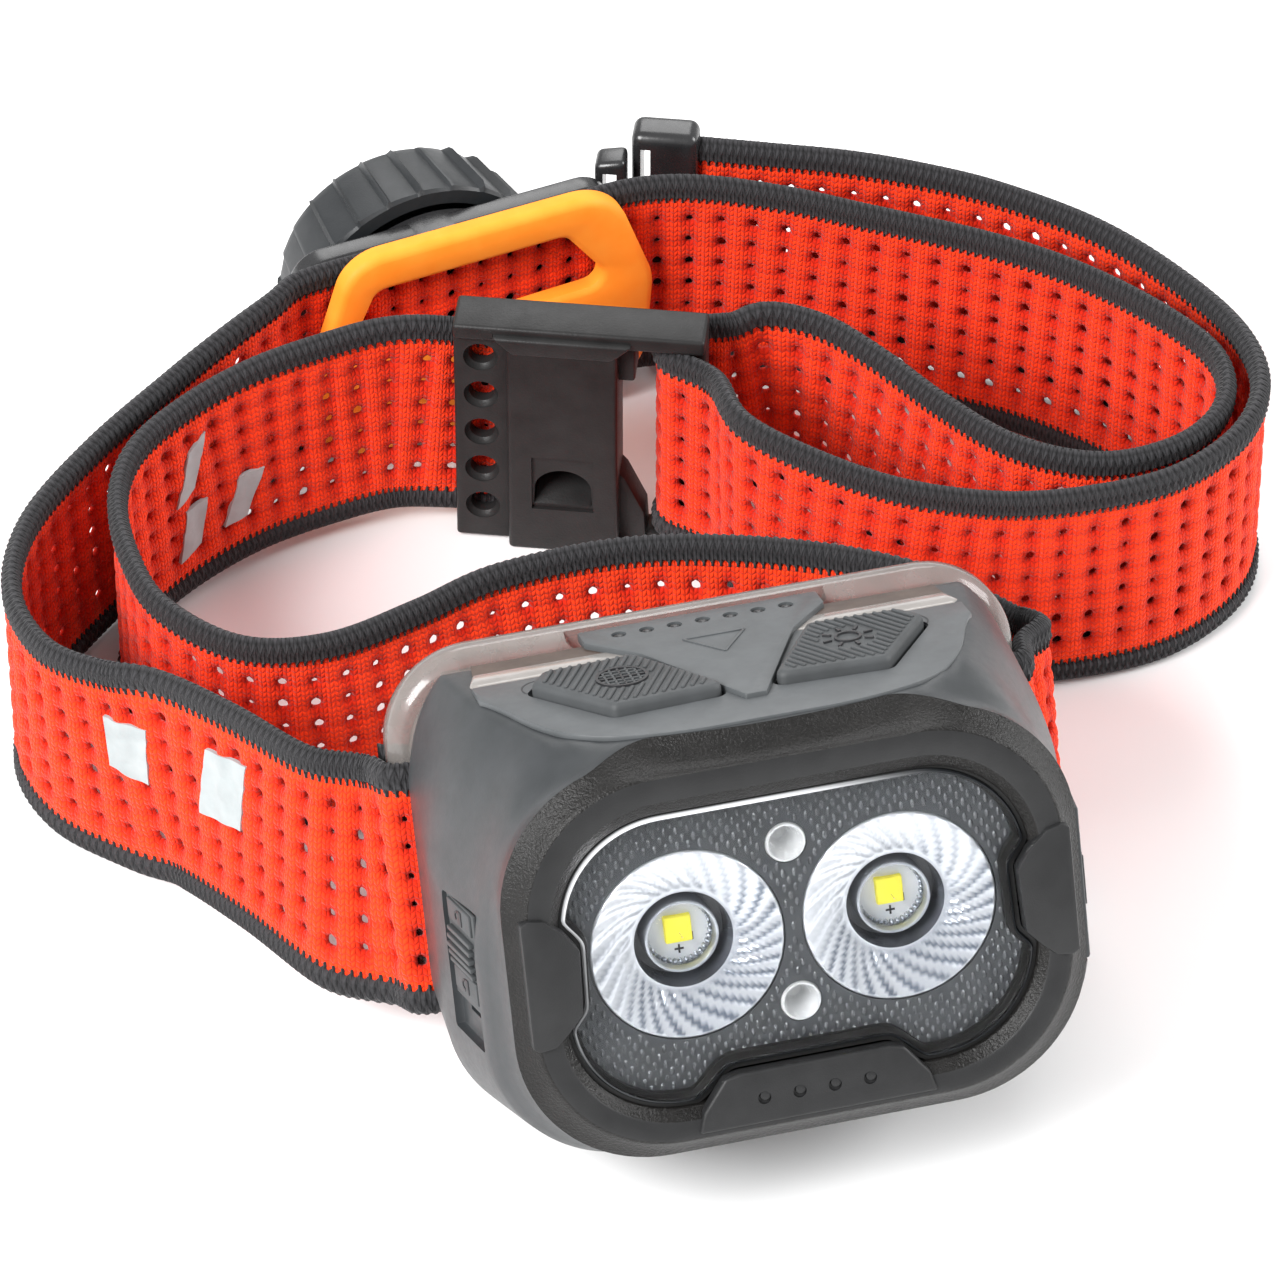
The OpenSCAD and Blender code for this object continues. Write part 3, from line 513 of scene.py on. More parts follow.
def band_edges(name, band, paint):
    """The two knitted edges and their bars, as one mesh."""
    groups = [rim_loops(band, sign) for sign in (-1, 1)]
    groups += [edge_bars(band, sign, side) for sign in (-1, 1) for side in (-1, 1)]
    points, painted_light, uvs, group_faces = zip(*groups)
    starts = np.cumsum([0] + [len(p) for p in points])
    faces = [face + start for start, group in zip(starts, group_faces) for face in group]
    obj = mesh_object(name, np.vstack(points), faces, WORLD, [paint])
    store(obj.data, np.concatenate(painted_light), np.vstack(uvs))
    return obj


RED_KNIT = knit("red_knit", (0.50, 0.012, 0.003), (0.95, 0.05, 0.008))
GREY_KNIT = knit("grey_knit", (0.003, 0.003, 0.003), (0.046, 0.045, 0.048), fine=0.5)

LONG_NODES = ["band_left", "band_left_turn", "band_back", "band_right_turn", "band_to_buckle", "band_fold",
              "band_tail_front", "band_tail_turn", "band_tail_back", "end_loop_left"]
SIDE_NODES = ["side_band_buckle", "side_band_turn", "side_band_front", "side_band_right", "end_loop_right"]
long_band, side_band = Band(LONG_ROUTE), Band(SIDE_ROUTE)
print("band lengths in mm:", round(long_band.length), round(side_band.length))
add(band_fabric("long_band_knit", long_band, RED_KNIT), "headband", "band_fabric", *LONG_NODES)
add(band_edges("long_band_edges", long_band, GREY_KNIT), "headband", "band_fabric")
add(band_fabric("side_band_knit", side_band, RED_KNIT), "headband", "band_fabric", *SIDE_NODES)
add(band_edges("side_band_edges", side_band, GREY_KNIT), "headband", "band_fabric")

# ---------------------------------------------------------------- helpers for moulded pieces

N = 480  # points round each of the lamp's large outlines


def smooth(x, low, high):
    """A soft step from 0 at low to 1 at high."""
    t = np.clip((np.asarray(x, float) - low) / (high - low), 0, 1)
    return t * t * (3 - 2 * t)


def arc(x, y, r, start, end, n):
    """Points along an arc; r is one radius, or one for each direction."""
    a = np.linspace(start, end, n)
    rx, ry = np.broadcast_to(r, 2)
    return np.stack([x + rx * np.cos(a), y + ry * np.sin(a)], 1)


def circle(x, y, r, n=28):
    """A circle's points, anticlockwise from its right side."""
    a = np.linspace(0, 2 * math.pi, n, endpoint=False)
    return np.stack([x + r * np.cos(a), y + r * np.sin(a)], 1)


def rounded(half_w, low, high, r, per_corner=20):
    """A rounded rectangle as points (x, z), anticlockwise from its right side."""
    corners = [(half_w - r, high - r), (r - half_w, high - r), (r - half_w, low + r), (half_w - r, low + r)]
    return np.vstack([arc(x, z, r, math.pi / 2 * k, math.pi / 2 * (k + 1), per_corner)
                      for k, (x, z) in enumerate(corners)])


def rayed(outline, n=N, centre=(0, -1)):
    """A closed outline sampled at n even directions from a centre."""
    outline = np.asarray(outline, float)
    share = np.linspace(0, 1, 40, endpoint=False)[:, None]
    outline = np.vstack([a + (b - a) * share for a, b in zip(outline, np.roll(outline, -1, 0))])
    offset = outline - centre
    angle = np.unwrap(np.arctan2(offset[:, 1], offset[:, 0]))
    radius = np.hypot(*offset.T)
    order = np.argsort(angle)
    want = np.linspace(-math.pi, math.pi, n, endpoint=False)
    all_a = np.concatenate([angle[order] + k * 2 * math.pi for k in (-2, -1, 0, 1, 2)])
    r = np.interp(want, all_a, np.tile(radius[order], 5))
    return np.stack([centre[0] + r * np.cos(want), centre[1] + r * np.sin(want)], 1)


def soft_box(half_w, low, high, r):
    """A rounded rectangle with its N points in even directions."""
    return rayed(rounded(half_w, low, high, r))


def grown(points, by):
    """A closed anticlockwise outline moved outward."""
    along = np.roll(points, -1, 0) - np.roll(points, 1, 0)
    along /= np.linalg.norm(along, axis=1)[:, None]
    return points + by * np.stack([along[:, 1], -along[:, 0]], 1)


def at_x(outline, x):
    """An outline in y and z set at a place across."""
    return np.stack([np.broadcast_to(x, len(outline)), outline[:, 0], outline[:, 1]], 1)


def at_y(outline, y):
    """An outline in x and z set at a depth."""
    return np.stack([outline[:, 0], np.broadcast_to(y, len(outline)), outline[:, 1]], 1)


def at_z(outline, z):
    """An outline in x and y set at a height."""
    return np.stack([outline[:, 0], outline[:, 1], np.broadcast_to(z, len(outline))], 1)


def steps(outline, pairs):
    """One ring for each pair: the outline grown by the first number, at the depth of the second."""
    return [at_y(grown(outline, by), y) for by, y in pairs]


def hull_outline(circles, grow=0.0):
    """The convex outline round circles given as (x, y, r), anticlockwise."""
    dots = np.vstack([circle(x, y, r + grow, 48) for x, y, r in circles])
    dots = dots[np.lexsort((dots[:, 1], dots[:, 0]))]

    def half(seq):
        chain = []
        for p in seq:
            while len(chain) > 1 and np.cross(chain[-1] - chain[-2], p - chain[-1]) <= 1e-9:
                chain.pop()
            chain.append(p)
        return chain[:-1]

    return np.array(half(dots) + half(dots[::-1]))


def clipped(poly, a, b):
    """The part of the line a-b inside a convex anticlockwise polygon, or None."""
    low, high = 0.0, 1.0
    for p, q in zip(poly, np.roll(poly, -1, 0)):
        inward = np.array([p[1] - q[1], q[0] - p[0]])
        da, db = inward @ (a - p), inward @ (b - p)
        if da < 0 and db < 0:
            return None
        if da < 0 or db < 0:
            t = da / (da - db)
            low, high = (max(low, t), high) if da < 0 else (low, min(high, t))
    return (a + (b - a) * low, a + (b - a) * high) if high - low > 1e-6 else None


def ribbon(a, b, width):
    """The rectangle of a width along a line."""
    a, b = np.asarray(a, float), np.asarray(b, float)
    d = (b - a) / np.linalg.norm(b - a) * width / 2
    side = np.array([-d[1], d[0]])
    return [a - side, b - side, b + side, a + side]


def box(x0, x1, y0, y1):
    """A rectangle's corners in turn."""
    return [(x0, y0), (x1, y0), (x1, y1), (x0, y1)]


def finish_edges(obj, sharp=35):
    """Turns the faces outward, shades them smooth and keeps edges over the angle sharp."""
    bm = bmesh.new()
    bm.from_mesh(obj.data)
    bmesh.ops.recalc_face_normals(bm, faces=bm.faces)
    bm.to_mesh(obj.data)
    bm.free()
    obj.data.polygons.foreach_set("use_smooth", [True] * len(obj.data.polygons))
    obj.data.set_sharp_from_angle(angle=math.radians(sharp))
    return obj


class Maker:
    """Makes shapes in one sub-frame, in millimetres, with one finish (a loft may mix several)."""

    def __init__(self, matrix, *paints):
        self.matrix, self.paints = matrix, paints

    def loft(self, rings, closed=False, caps=True, paint_of=None, sharp=35, name="part"):
        """A skin through rings of equal length; closed joins the last ring to the first."""
        n, m = len(rings[0]), len(rings)
        faces, paint = [], []
        for i in range(m if closed else m - 1):
            a, b = i * n, (i + 1) % m * n
            for k in range(n):
                j = (k + 1) % n
                faces.append((a + k, a + j, b + j, b + k))
                paint.append(paint_of[i] if paint_of else 0)
        if caps and not closed:
            faces += [tuple(range(n))[::-1], tuple(range((m - 1) * n, m * n))]
            paint += [paint[0], paint[-1]]
        return finish_edges(mesh_object(name, np.vstack(rings), faces, self.matrix, self.paints, paint),
                            sharp)

    def prism(self, poly, low, high, bevel=0.2, put=at_y, segments=2, name="part"):
        """A polygon pushed along an axis, with its edges rounded."""
        poly = np.asarray(poly, float)
        n = len(poly)
        bm = bmesh.new()
        verts = [bm.verts.new(p) for p in np.vstack([put(poly, low), put(poly, high)])]
        faces = [tuple(range(n))[::-1], tuple(range(n, 2 * n))]
        faces += [(k, (k + 1) % n, n + (k + 1) % n, n + k) for k in range(n)]
        for f in faces:
            bm.faces.new([verts[i] for i in f])
        bmesh.ops.recalc_face_normals(bm, faces=bm.faces)
        if bevel:
            edges = [e for e in bm.edges if e.calc_face_angle(0) > math.radians(30)]
            bmesh.ops.bevel(bm, geom=edges, offset=bevel, segments=segments, profile=0.5, affect="EDGES",
                            clamp_overlap=True)
        obj = mesh_object(name, [], [], self.matrix, self.paints)
        bm.to_mesh(obj.data)
        bm.free()
        obj.data.transform(self.matrix)
        return finish_edges(obj)

    def block(self, low, high, bevel=0.2, segments=2, name="part"):
        """A rounded block between two corners."""
        (x0, y0, z0), (x1, y1, z1) = low, high
        return self.prism(box(x0, x1, z0, z1), y0, y1, bevel, segments=segments, name=name)

    def turned(self, profile, at=(0, 0, 0), n=64, name="part", **options):
        """A shape turned about the y axis from (radius, depth) pairs."""
        x, y, z = at
        return self.loft([at_y(circle(x, z, r, n), y + d) for r, d in profile], name=name, **options)

    def raised_ring(self, x, y, r, width, low, high):
        """A flat ring standing on a level face."""
        outer, inner = circle(x, y, r + width / 2, 40), circle(x, y, r - width / 2, 40)
        rings = [at_z(outer, low), at_z(outer, high), at_z(inner, high), at_z(inner, low)]
        return self.loft(rings, closed=True)


def set_painted_light(obj, values):
    """Keeps values from 0 to 1 on the points, for the painted light and shade in the shader."""
    values = np.broadcast_to(values, len(obj.data.vertices)).astype(np.float32)
    obj.data.attributes.new("painted_light", "FLOAT", "POINT").data.foreach_set("value", values)
    return obj


def join(name, objs):
    """Several meshes made one piece, with their materials kept."""
    bm = bmesh.new()
    target = bpy.data.meshes.new(name)
    for obj in objs:
        shift = {}
        for k, mat in enumerate(obj.data.materials):
            if mat.name not in [m.name for m in target.materials]:
                target.materials.append(mat)
            shift[k] = [m.name for m in target.materials].index(mat.name)
        start = len(bm.faces)
        bm.from_mesh(obj.data)
        bm.faces.ensure_lookup_table()
        for f in bm.faces[start:]:
            f.material_index = shift[f.material_index]
        bpy.data.objects.remove(obj)
    bm.to_mesh(target)
    bm.free()
    obj = bpy.data.objects.new(name, target)
    bpy.context.scene.collection.objects.link(obj)
    return obj


def carve(obj, cutters, sharp=35):
    """Cuts the cutters out of a closed piece."""
    for cutter in cutters:
        mod = obj.modifiers.new("carve", "BOOLEAN")
        mod.operation, mod.solver, mod.object = "DIFFERENCE", "EXACT", cutter
    bpy.context.view_layer.update()
    shape = bpy.data.meshes.new_from_object(obj.evaluated_get(bpy.context.evaluated_depsgraph_get()))
    obj.modifiers.clear()
    obj.data = shape
    for cutter in cutters:
        bpy.data.objects.remove(cutter)
    obj.data.set_sharp_from_angle(angle=math.radians(sharp))
    return obj


# ---------------------------------------------------------------- finishes of the lamp and the buckle

SATIN = moulded("satin_charcoal", (0.026, 0.029, 0.031), (0.034, 0.037, 0.040), 0.40, 0.012, 5,
                Specular_IOR_Level=0.42)
COARSE = moulded("coarse_black", (0.004, 0.0036, 0.0033), (0.008, 0.0073, 0.0068), 0.33, 0.13, 3.6,
                 Specular_IOR_Level=0.28)
FINE = moulded("fine_black", (0.011, 0.0112, 0.0118), (0.016, 0.0163, 0.017), 0.44, 0.03, 7,
               Specular_IOR_Level=0.35)
PANEL = moulded("satin_grey", (0.060, 0.065, 0.068), (0.076, 0.082, 0.086), 0.45, 0.008, 6,
                Specular_IOR_Level=0.45)
RUBBER = moulded("button_rubber_grey", (0.043, 0.046, 0.048), (0.056, 0.060, 0.063), 0.55, 0.02, 9,
                 Specular_IOR_Level=0.4)
BLACK = moulded("smooth_black", (0.010, 0.010, 0.011), (0.016, 0.016, 0.017), 0.3, 0.01, 6)
SEAL = moulded("seal_black", (0.004, 0.004, 0.004), (0.007, 0.007, 0.007), 0.65, 0.01, 10)
GLASS = moulded("window_clear", (0.97, 0.98, 1.0), (1.0, 1.0, 1.0), 0.02, Transmission_Weight=1.0, IOR=1.2)
RIM = Paint("window_rim", (0.3, 0.3, 0.3), 0.15, Metallic=0.3)
# painted highlight: the rim runs from near black to near white with the stored painted light
RIM.tint(RIM.attribute("painted_light"), (0.02, 0.022, 0.025), (0.85, 0.86, 0.88))
MASK = moulded("mask_grey", (0.050, 0.055, 0.060), (0.062, 0.068, 0.074), 0.3, 0.006, 8)
# painted highlight: the drops are coloured a lighter grey than the mask they stand on
DROP = moulded("mask_drop", (0.095, 0.10, 0.106), (0.12, 0.127, 0.136), 0.15, 0.004, 8)
# painted light: the optic's colour runs from dark blue-grey to near white with stored values of painted
# highlight, shade and reflection
OPTIC = Paint("optic_facets", (0.8, 0.84, 0.9), 0.12, Metallic=0.35, Coat_Weight=0.6, Coat_Roughness=0.03)
OPTIC.tint(OPTIC.ramp(OPTIC.attribute("painted_light"), 0, 1), (0.16, 0.19, 0.24), (0.93, 0.96, 1.0))
OPTIC.bump(OPTIC.noise(1.5, 2), 0.02)
# painted shade: the optic's deep well is coloured dark grey
WELL = moulded("optic_well", (0.05, 0.055, 0.065), (0.11, 0.12, 0.14), 0.15, Coat_Weight=0.5)
CLEAR = moulded("optic_clear", (0.95, 0.97, 1.0), (1, 1, 1), 0.02, Transmission_Weight=1.0, IOR=1.18)
SEAT = moulded("led_seat", (0.85, 0.88, 0.90), (0.95, 0.96, 0.97), 0.35, 0.01, 3)
# painted glow: the die's faint emission makes it brighter than the studio light alone
LED = moulded("led_yellow_die", (1.0, 0.86, 0.03), (1.0, 0.95, 0.10), 0.4, 0.01, 8,
              Emission_Color=(1.0, 0.85, 0.05, 1), Emission_Strength=0.25)
RED_CUP = moulded("cup_white", (0.70, 0.71, 0.71), (0.85, 0.86, 0.86), 0.25, 0.004, 4)
MARK = moulded("dark_mark", (0.012, 0.012, 0.014), (0.02, 0.02, 0.022), 0.5)
SMOKE = moulded("smoky_clear", (0.33, 0.30, 0.28), (0.40, 0.365, 0.345), 0.22, 0.006, 4,
                Transmission_Weight=0.62, IOR=1.3, Coat_Weight=0.3)
STEEL = moulded("screw_steel_bright", (0.55, 0.55, 0.56), (0.66, 0.66, 0.67), 0.28, 0.004, 6, Metallic=1.0)
DARK_STEEL = moulded("screw_steel_dark", (0.10, 0.10, 0.105), (0.16, 0.16, 0.165), 0.34, 0.004, 6,
                     Metallic=1.0)
LEDGE = moulded("smoky_ledge", (0.21, 0.195, 0.18), (0.27, 0.25, 0.235), 0.22, 0.006, 4, Coat_Weight=0.4)
# painted shadow: a dark brown for the shade in the step behind the panel's ledge
PAINTED_SHADOW = moulded("smoky_shadow", (0.050, 0.032, 0.024), (0.075, 0.050, 0.038), 0.5)
ORANGE = moulded("orange_matt", (0.98, 0.27, 0.017), (1.0, 0.31, 0.028), 0.6, 0.012, 6,
                 Specular_IOR_Level=0.25)
KNOB = moulded("knob_charcoal", (0.015, 0.017, 0.019), (0.022, 0.024, 0.026), 0.44, 0.02, 6,
               Specular_IOR_Level=0.4)
BUCKLE_BLACK = moulded("buckle_black", (0.014, 0.0135, 0.0135), (0.021, 0.0205, 0.0205), 0.42, 0.03, 4,
                       Specular_IOR_Level=0.22)
GLOSS_BLACK = moulded("gloss_black", (0.012, 0.012, 0.013), (0.020, 0.020, 0.021), 0.26, 0.008, 4)
SILVER_PRINT = moulded("silver_print", (0.30, 0.33, 0.335), (0.38, 0.41, 0.415), 0.5, 0.03, 2,
                       Specular_IOR_Level=0.3)

# ---------------------------------------------------------------- the front bezel

# The flat top's edge: pairs of depth and half width
EDGE_Y = ((2, 0), (3, 10), (4.5, 15), (8, 19), (16, 22), (22, 23.5), (28.5, 24.5))
TOP = 19.9
OPTIC_X = 9.9
CUP_HEIGHTS = (8.1, -7.4)

BROW = soft_box(26.7, -19.6, 18.9, 13.2)
# 1 along the middle of the top, where the brow rises to the panel, and 0 elsewhere
LIFT = (1 - smooth(np.abs(BROW[:, 0]), 10.5, 18)) * (BROW[:, 1] > 0)
BROW_Y = 0.9 + LIFT * (2.0 + 0.01 * BROW[:, 0] ** 2 - 0.9)
LIFTED_BROW = np.stack([BROW[:, 0], BROW[:, 1] + LIFT * (TOP - 0.1 - BROW[:, 1])], 1)
BROW_RING = at_y(LIFTED_BROW, BROW_Y)


def bezel_ring():
    """The bezel's frame, from its throat over the ridge and out to the brow."""
    throat, inner = soft_box(21.2, -14.2, 13.2, 9.6), soft_box(24.9, -17.9, 17.0, 12)
    ridge = soft_box(24.8, -17.6, 17.5, 12.5)
    rings = [at_y(throat, 1.3)] + steps(soft_box(21.9, -14.7, 13.8, 10),
                                        ((0, 0.7), (0, -0.15), (0.12, -0.3)))
    rings += steps(soft_box(22.75, -15.8, 15.15, 11), ((0, -1.02), (0.2, -1.15)))
    rings += steps(ridge, ((-0.35, -1.2), (-0.08, -1.15)))
    start = at_y(ridge, -1.2)
    for u in np.linspace(0.05, 1, 9):
        row = start + (BROW_RING - start) * u
        row[:, 2] -= LIFT * (0.25 + 0.9 * LIFT) * np.sin(math.pi * u) * 0.75
        row[:, 1] += (1 - LIFT) * 0.16 * np.sin(math.pi * u)
        rings.append(row)
    rings += [at_y(inner, np.maximum(BROW_Y, 1.2) + 0.3), at_y(inner, 3.0), at_y(throat, 3.0)]
    paint_of = [0] * 4 + [1] * 3 + [0] * 13
    return Maker(LAMP, COARSE, FINE).loft(rings, closed=True, paint_of=paint_of, sharp=40)


def bezel_pads():
    """The two side pads and the bumper below, with its four dimples."""
    fine = Maker(LAMP, FINE)
    pad = np.array([(25.5, 6.0), (24.8, 6.4), (23.3, 6.1), (21.5, 4.5), (20.3, 2.7), (20.6, -3.4),
                    (22.0, -5.0),
                    (23.3, -6.2), (24.8, -6.4), (25.5, -6.0)])
    bumper = [(-11.2, -17.2), (-10.6, -15.2), (-8.4, -12.3), (-7.0, -12.0), (7.0, -12.0), (8.4, -12.3),
              (10.6, -15.2), (11.2, -17.2)]
    dimple = [(0.02, -3), (0.62, -3), (0.62, -1.2), (0.02, -1.05)]
    places = [3.3 * (i - 1.5) for i in range(4)]
    pieces = [fine.prism(pad * (-1, 1), -1.6, 0.02, 0.25), fine.prism(pad[::-1], -1.6, 0.02, 0.25)]
    pieces.append(carve(fine.prism(bumper, -1.5, 0.02, 0.32, segments=3),
                        [fine.turned(dimple, at=(x, 0, -14.7), n=24) for x in places]))
    return pieces + [fine.prism(circle(x + 0.12, -14.5, 0.5, 20), -1.44, -1.1, 0.12) for x in places]


add(join("front_bezel_moulding", [bezel_ring()] + bezel_pads()), "lamp", "bezel_plastic", "front_bezel")

# ---------------------------------------------------------------- window, seal and mask

LENS_CENTRE = np.array([0, -1.0])


def window_outline():
    """The window's edge: a rounded rectangle cut back by the two pads and the bumper."""
    direction = soft_box(21.8, -14.6, 13.7, 10) - LENS_CENTRE
    reach = np.hypot(*direction.T)
    angle = np.arctan2(direction[:, 1], direction[:, 0])
    for notch in ([(24, 5.4), (21.7, 4.9), (20.1, 2.8), (20.35, -3.6), (21.8, -5.2), (24, -5.9)],
                  [(-24, -5.9), (-21.8, -5.2), (-20.35, -3.6), (-20.1, 2.8), (-21.7, 4.9), (-24, 5.4)],
                  [(-11.0, -16), (-8.5, -12.2), (-7, -11.8), (7, -11.8), (8.5, -12.2), (11.0, -16)]):
        notch = np.array(notch)
        span = np.vstack([a + (b - a) * t for a, b in zip(notch, notch[1:]) for t in np.linspace(0, 1, 200)])
        span = span - LENS_CENTRE
        here, there = angle, np.arctan2(span[:, 1], span[:, 0])
        if np.ptp(there) > math.pi:
            here, there = here % (2 * math.pi), there % (2 * math.pi)
        order = np.argsort(there)
        cut = np.interp(here, there[order], np.hypot(*span[order].T), left=99, right=99)
        reach = np.minimum(reach, cut)
    softened = np.convolve(np.concatenate([reach[-2:], reach, reach[:2]]), [0.1, 0.2, 0.4, 0.2, 0.1],
                           "valid")
    return LENS_CENTRE + direction / np.hypot(*direction.T)[:, None] * softened[:, None]


WINDOW = window_outline()


def make_window():
    """The clear pane, its rim with a painted highlight and the seal behind its edge."""
    pane = steps(WINDOW, ((-0.3, 1.15), (-0.3, 0.0), (-0.55, -0.2)))
    add(Maker(LAMP, GLASS).loft(pane, sharp=30, name="lens_window_pane"), "lamp", "clear_window",
        "lens_window")
    rim = steps(WINDOW, ((-0.24, 0.6), (-0.24, 0.02), (-0.36, -0.16), (-0.52, -0.22), (-0.5, -0.1),
                         (-0.42, 0.6)))
    rim_skin = Maker(LAMP, RIM).loft(rim, closed=True, sharp=30, name="lens_window_rim")
    # painted highlight: the rim's colour is bright only where it looks to the upper left, dark elsewhere
    facing = np.cos(np.arctan2(*(WINDOW - LENS_CENTRE).T[::-1]) - math.radians(125))
    add(set_painted_light(rim_skin, np.tile(smooth(facing, 0.15, 0.95), len(rim))), "lamp", "clear_window")
    seal = steps(WINDOW, ((0.2, 0.2), (0.2, 1.9), (-0.9, 1.9), (-0.9, 1.2), (-0.2, 1.15), (-0.2, 0.2)))
    seal_skin = Maker(LAMP, SEAL).loft(seal, closed=True, name="lens_seal")
    add(seal_skin, "lamp", "seal_rubber", "lens_gasket")


def mask_lattice():
    """Small drops in staggered rows over the mask, clear of its holes."""
    inside = grown(WINDOW, -0.6) - LENS_CENTRE
    edge_angle = np.arctan2(*inside.T[::-1])
    order = np.argsort(edge_angle)
    edge_angle, edge_reach = edge_angle[order], np.hypot(*inside.T)[order]
    points, faces = [], []
    for row in range(-21, 21):
        for col in range(-22, 23):
            x, z = 1.04 * (col + 0.5 * (row % 2)), 0.74 * row
            if min(math.hypot(x + OPTIC_X, z), math.hypot(x - OPTIC_X, z)) < 9.6:
                continue
            if min(math.hypot(x, z - height) for height in CUP_HEIGHTS) < 2.4:
                continue
            if math.hypot(x, z + 1) > np.interp(math.atan2(z + 1, x), edge_angle, edge_reach):
                continue
            base = len(points)
            for half_w, half_h, y in ((0.24, 0.46, 2.01), (0.13, 0.28, 1.83)):
                points += [(x + half_w * math.cos(a), y, z + half_h * math.sin(a))
                           for a in np.arange(8) * math.pi / 4]
            points.append((x, 1.77, z))
            for k in range(8):
                a, b = base + k, base + (k + 1) % 8
                faces += [(a, b, b + 8, a + 8), (a + 8, b + 8, base + 16)]
    return finish_edges(mesh_object("lattice", points, faces, LAMP, [DROP]), 60)


def make_mask():
    """The grey mask with holes for the optics and the red cups."""
    maker = Maker(LAMP, MASK)
    plate = maker.loft([at_y(WINDOW, 2.95), at_y(WINDOW, 2.0)])
    holes = [(-OPTIC_X, 0, 9.1), (OPTIC_X, 0, 9.1)] + [(0, z, 1.95) for z in CUP_HEIGHTS]
    carve(plate, [maker.turned([(0.02, 0), (r, 0), (r, 5), (0.02, 5)], at=(x, 0, z), n=96)
                  for x, z, r in holes])
    add(join("mask_with_lattice", [plate, mask_lattice()]), "lamp", "mask_plastic", "optic_mask")


make_window()
make_mask()

# ---------------------------------------------------------------- optics, reflectors and LEDs


def facets(side):
    """The faceted bowl of one optic: swirled blades that run down into a deep well, with painted light in
    its colour: highlight to the upper left, shade away from it and near the well, and dark streaks of
    painted reflection on the blades.
    """
    cx, blades, turns = OPTIC_X * side, 28, 1.3
    a = np.linspace(0, 2 * math.pi, blades * 12, endpoint=False)
    light_from = np.cos(a - math.radians(125))
    rings, shade = [], []
    stations = [(9.0, 2.75), (9.0, 2.1), (8.85, 1.96), (8.6, 2.0), (8.2, 2.1), (7.7, 2.24), (7.2, 2.4),
                (6.7, 2.58),
                (6.2, 2.78), (5.7, 3.0), (5.3, 3.22), (5.0, 3.42), (4.8, 3.5), (4.6, 3.45)]
    for r, y in stations:
        share = smooth(r, 4.8, 5.5) * (1 - smooth(r, 8.5, 8.9))
        turn = a + 0.10 * np.sin(3 * a + 1) + turns * ((9 - r) / 9) ** 1.3
        saw = (turn * blades / (2 * math.pi)) % 1.0
        hill = 0.5 + 0.5 * np.cos(2 * math.pi * (saw - 0.3))
        rings.append(np.stack([cx + r * np.cos(a), y + share * 0.34 * (hill - 0.5), r * np.sin(a)], 1))
        patch = 0.5 + 0.5 * np.sin(5 * turn + 1.3 * side) * np.sin(2.0 * a + 0.9)
        # painted reflection: a dark streak on one face of each blade, deepened as painted shade away from
        # the upper left
        dark = smooth(saw, 0.5, 0.62) * (1 - smooth(saw, 0.86, 0.98)) * share
        depth = np.clip(0.05 + 1.15 * (0.5 - 0.5 * light_from)
                        + 0.35 * patch - 0.15 * smooth(r, 6.5, 8.5), 0, 1)
        # painted highlight and shade: brighter towards the upper left, darker near the well
        painted_brightness = 0.78 + 0.18 * light_from - 0.16 * (1 - smooth(r, 4.9, 6.0))
        shade.append(np.clip(painted_brightness - dark * depth * (0.55 + 0.45 * patch), 0, 1))
    return set_painted_light(Maker(LAMP, OPTIC).loft(rings, caps=False, sharp=50), np.concatenate(shade))


def make_optic(side, word):
    """One optic with its bowl, well, collar, ring of teeth, seat and inner lens, and the LED behind it."""
    cx, node = OPTIC_X * side, "optic_" + word
    optic = Maker(LAMP, OPTIC)
    well = Maker(LAMP, WELL).turned([(4.6, 3.45), (4.5, 3.75), (4.3, 6.4), (2.2, 6.5), (2.2, 8.2),
                                     (4.6, 8.2),
                                     (8.6, 3.2), (8.95, 2.8)], at=(cx, 0, 0), caps=False)
    collar = optic.turned([(3.55, 6.4), (3.5, 4.3), (3.42, 4.1), (3.3, 4.05), (3.18, 4.1), (3.1, 4.3),
                           (3.0, 6.4)],
                          at=(cx, 0, 0), caps=False)
    seat = Maker(LAMP, SEAT).turned([(3.05, 6.2), (3.0, 6.05), (0.02, 6.05)], at=(cx, 0, 0), caps=False)
    # The collar and the teeth take fixed, dimmer levels of the optic's painted light
    teeth = [set_painted_light(optic.turned([(0.02, 6.38), (0.2, 6.3), (0.16, 5.6), (0.02, 5.5)], at=(x, 0, z),
                                     n=8), 0.35)
             for x, z in circle(cx, 0, 2.75, 36)]
    bowl = [facets(side), well, set_painted_light(collar, 0.42), seat] + teeth
    add(join(node + "_bowl", bowl), "lamp", "clear_optic", node)
    dome = [(2.95, 5.2), (2.95, 4.7), (2.7, 4.4), (2.2, 4.15), (1.5, 3.97), (0.8, 3.88), (0.05, 3.86),
            (0.05, 5.1)]
    lens = Maker(LAMP, CLEAR).turned(dome, at=(cx, 0, 0), name=node + "_inner_lens")
    add(lens, "lamp", "clear_optic")
    die = Maker(LAMP, LED).block((cx - 1.2, 5.5, -1.0), (cx + 1.2, 6.1, 1.4), 0.15)
    add(join("white_led_" + word, [die]), "lamp", "led_yellow", *(["white_leds"] if side < 0 else []))
    lines = [((-0.4, -1.75), (0.4, -1.75)), ((0, -2.15), (0, -1.35)), ((0.2, -1.05), (1.25, -1.05)),
             ((1.25, -1.1), (1.25, -0.4))]
    marks = [Maker(LAMP, MARK).prism(ribbon((cx + p[0], p[1]), (cx + q[0], q[1]), 0.16), 5.98, 6.06, 0)
             for p, q in lines]
    add(join("led_marks_" + word, marks), "lamp", "board_white")


